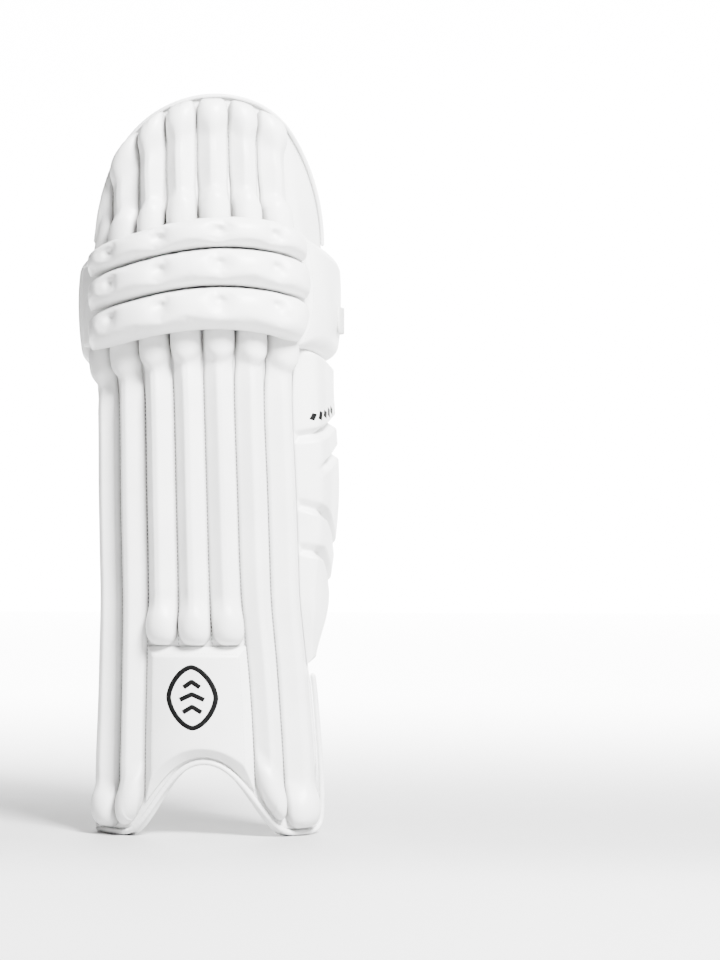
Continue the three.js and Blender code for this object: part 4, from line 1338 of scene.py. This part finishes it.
# A flat strip of film on a face: half its width to each side of a middle line in s and z, a
# little raised, with closed ends unless it is a loop. proudAt gives the face's height.
def filmStrip(line, half, proudAt, loop=False):
    closed = np.concatenate([line, line[:1]]) if loop else line
    path = evenPath(closed, 0.0008)[0]
    if loop:
        path = path[:-1]
        along = np.roll(path, -1, 0) - np.roll(path, 1, 0)
    else:
        along = np.gradient(path, axis=0)
    along = along / np.linalg.norm(along, axis=1, keepdims=True)
    across = np.array([-1, -0.9, 0, 0.9, 1, 1, -1])[None, :]
    lift = np.array([0.6, 1, 1, 1, 0.6, -1, -1])[None, :] * filmRaise
    s = path[:, :1] - along[:, 1:] * across * half
    z = path[:, 1:] + along[:, :1] * across * half
    rings = place(s, z, proudAt(s, z) + lift)
    uv = np.stack([s, z], -1)
    if loop:
        rings = np.concatenate([rings, rings[:1]])
        rows, columns = rings.shape[:2]
        faces = gridFaces(rows, columns, True)
        faces = faces % ((rows - 1) * columns)
        return rings[:-1].reshape(-1, 3), [faces], uv.reshape(-1, 2)
    return loft(rings, uv)


# Joins several bodies into one mesh.
def joinBodies(bodies):
    points, faces, uvs, start = [], [], [], 0
    for p, f, u in bodies:
        points.append(p)
        faces.extend(face + start for face in f)
        uvs.append(u)
        start += len(p)
    return np.concatenate(points), faces, np.concatenate(uvs)


# The badge is plain geometry: an outline between an ellipse and a lozenge, round three upward
# chevrons. Each chevron rises by 1 - |t| from its two ends to its middle.
def instepBadge():
    turn = np.linspace(0, 2 * math.pi, 240, endpoint=False)
    wide, tall = np.cos(turn), np.sin(turn)
    s = badge["s"] + badge["halfWidth"] * np.sign(wide) * np.abs(wide) ** badge["bow"]
    z = badge["z"] + badge["halfHeight"] * np.sign(tall) * np.abs(tall) ** badge["bow"]

    def proudAt(s, z):
        return pad["gap"] + instep["rise"] - 0.0001 + 0 * s

    bodies = [filmStrip(np.column_stack([s, z]), badge["halfBand"], proudAt, loop=True)]
    t = np.linspace(-1, 1, 41)
    for level, reach in badge["chevrons"]:
        z = badge["z"] + level + badge["chevronRise"] * (1 - np.abs(t))
        bodies.append(filmStrip(np.column_stack([badge["s"] + reach * t, z]), badge["halfStroke"], proudAt))
    settle(makePiece("instep_badge", *joinBodies(bodies), [film]))


bars = {
    "at": [0.1150, 0.1225, 0.1315, 0.1425, 0.1555],
    "z": 0.3905,
    "climb": 0.17,
    "halfHeights": [0.0030, 0.0038],
    "slant": 0.0012,
    "halfStroke": 0.0018,
    "widen": 0.0007,
}


# Five short slanted bars in a row that climbs to the right, on the calf wing's top pad. They get
# wider to the back, where the wing turns away.
def wingBars():
    def proudAt(s, z):
        return pad["gap"] + calfHeight(calfAcross(s, z), z) - 0.0001

    bodies = []
    for number, s in enumerate(bars["at"]):
        z = bars["z"] + bars["climb"] * (s - bars["at"][0])
        tall = bars["halfHeights"][number % 2]
        line = np.array([[s - bars["slant"], z - tall], [s + bars["slant"], z + tall]])
        bodies.append(filmStrip(line, bars["halfStroke"] + bars["widen"] * number, proudAt))
    settle(makePiece("wing_bars", *joinBodies(bodies), [film]))


sewing()
instepBadge()
wingBars()
print("stitches and print made")

# The floor glows with painted light: dim under the pad and brighter away from it, in a band in front of it
# and towards a white wall far behind.
studio = {
    "floorHalf": 7.0,
    "floorColour": (0.45, 0.45, 0.45),
    "floorGlow": 10.0,
    "front": 0.12,  # the glow a little in front of the pad and far behind, as shares of floorGlow
    "behind": 1.0,
    "wall": {"at": 4.9, "half": 2.2, "height": 3.6, "glow": 12.0},
    "world": 0.1,
    "key": {"azimuth": 38, "elevation": 43, "distance": 3.0, "size": 0.9, "watts": 760.0},
}


def stageSheet(name, corners):
    mesh = bpy.data.meshes.new(name)
    mesh.from_pydata(corners, [], [[0, 1, 2, 3]])
    sheet = bpy.data.objects.new(name, mesh)
    bpy.context.scene.collection.objects.link(sheet)
    return sheet


def makeStudio():
    half = studio["floorHalf"]
    floor = stageSheet("floor", [[-half, -half, 0], [half, -half, 0], [half, half, 0], [-half, half, 0]])
    material, tree, shader, start, here = startMaterial("floor", Roughness=0.7, Specular_IOR_Level=0.1)[:5]
    shader.inputs["Base Color"].default_value = (*studio["floorColour"], 1)
    shader.inputs["Emission Strength"].default_value = studio["floorGlow"]
    y = start.node("ShaderNodeSeparateXYZ", output=1, Vector=here)
    # Painted light: the floor's emission stays low round the pad, so the floor reads as shade there, and
    # rises in front of the pad and far behind it.
    glow = y.ramp(0.0, 2.0) * studio["behind"]
    glow = glow + (y * -1.0).ramp(0.08, 0.45) * (1.0 - (y * -1.0).ramp(0.7, 1.3)) * studio["front"]
    colour = glow.node("ShaderNodeCombineXYZ", X=glow, Y=glow, Z=glow)
    tree.links.new(colour.socket, shader.inputs["Emission Color"])
    floor.data.materials.append(material)
    wall = studio["wall"]
    backdrop = stageSheet("backdrop", [
        [-wall["half"], wall["at"], 0], [wall["half"], wall["at"], 0],
        [wall["half"], wall["at"], wall["height"]], [-wall["half"], wall["at"], wall["height"]]])
    material, tree, shader = startMaterial("backdrop", Emission_Strength=wall["glow"])[:3]
    shader.inputs["Emission Color"].default_value = (1, 1, 1, 1)
    backdrop.data.materials.append(material)
    world = bpy.data.worlds.new("studio")
    world.use_nodes = True
    background = world.node_tree.nodes["Background"]
    background.inputs["Color"].default_value = (1, 1, 1, 1)
    background.inputs["Strength"].default_value = studio["world"]
    bpy.context.scene.world = world
    key = studio["key"]
    turn, rise = math.radians(key["azimuth"]), math.radians(key["elevation"])
    away = Vector((math.sin(turn) * math.cos(rise), -math.cos(turn) * math.cos(rise), math.sin(rise)))
    data = bpy.data.lights.new("key", "AREA")
    data.size = key["size"]
    data.energy = key["watts"]
    lamp = bpy.data.objects.new("key", data)
    bpy.context.scene.collection.objects.link(lamp)
    lamp.location = Vector((0, 0, 0.35)) + away * key["distance"]
    lamp.rotation_euler = (-away).to_track_quat("-Z", "Y").to_euler()


makeStudio()
print("studio lit")
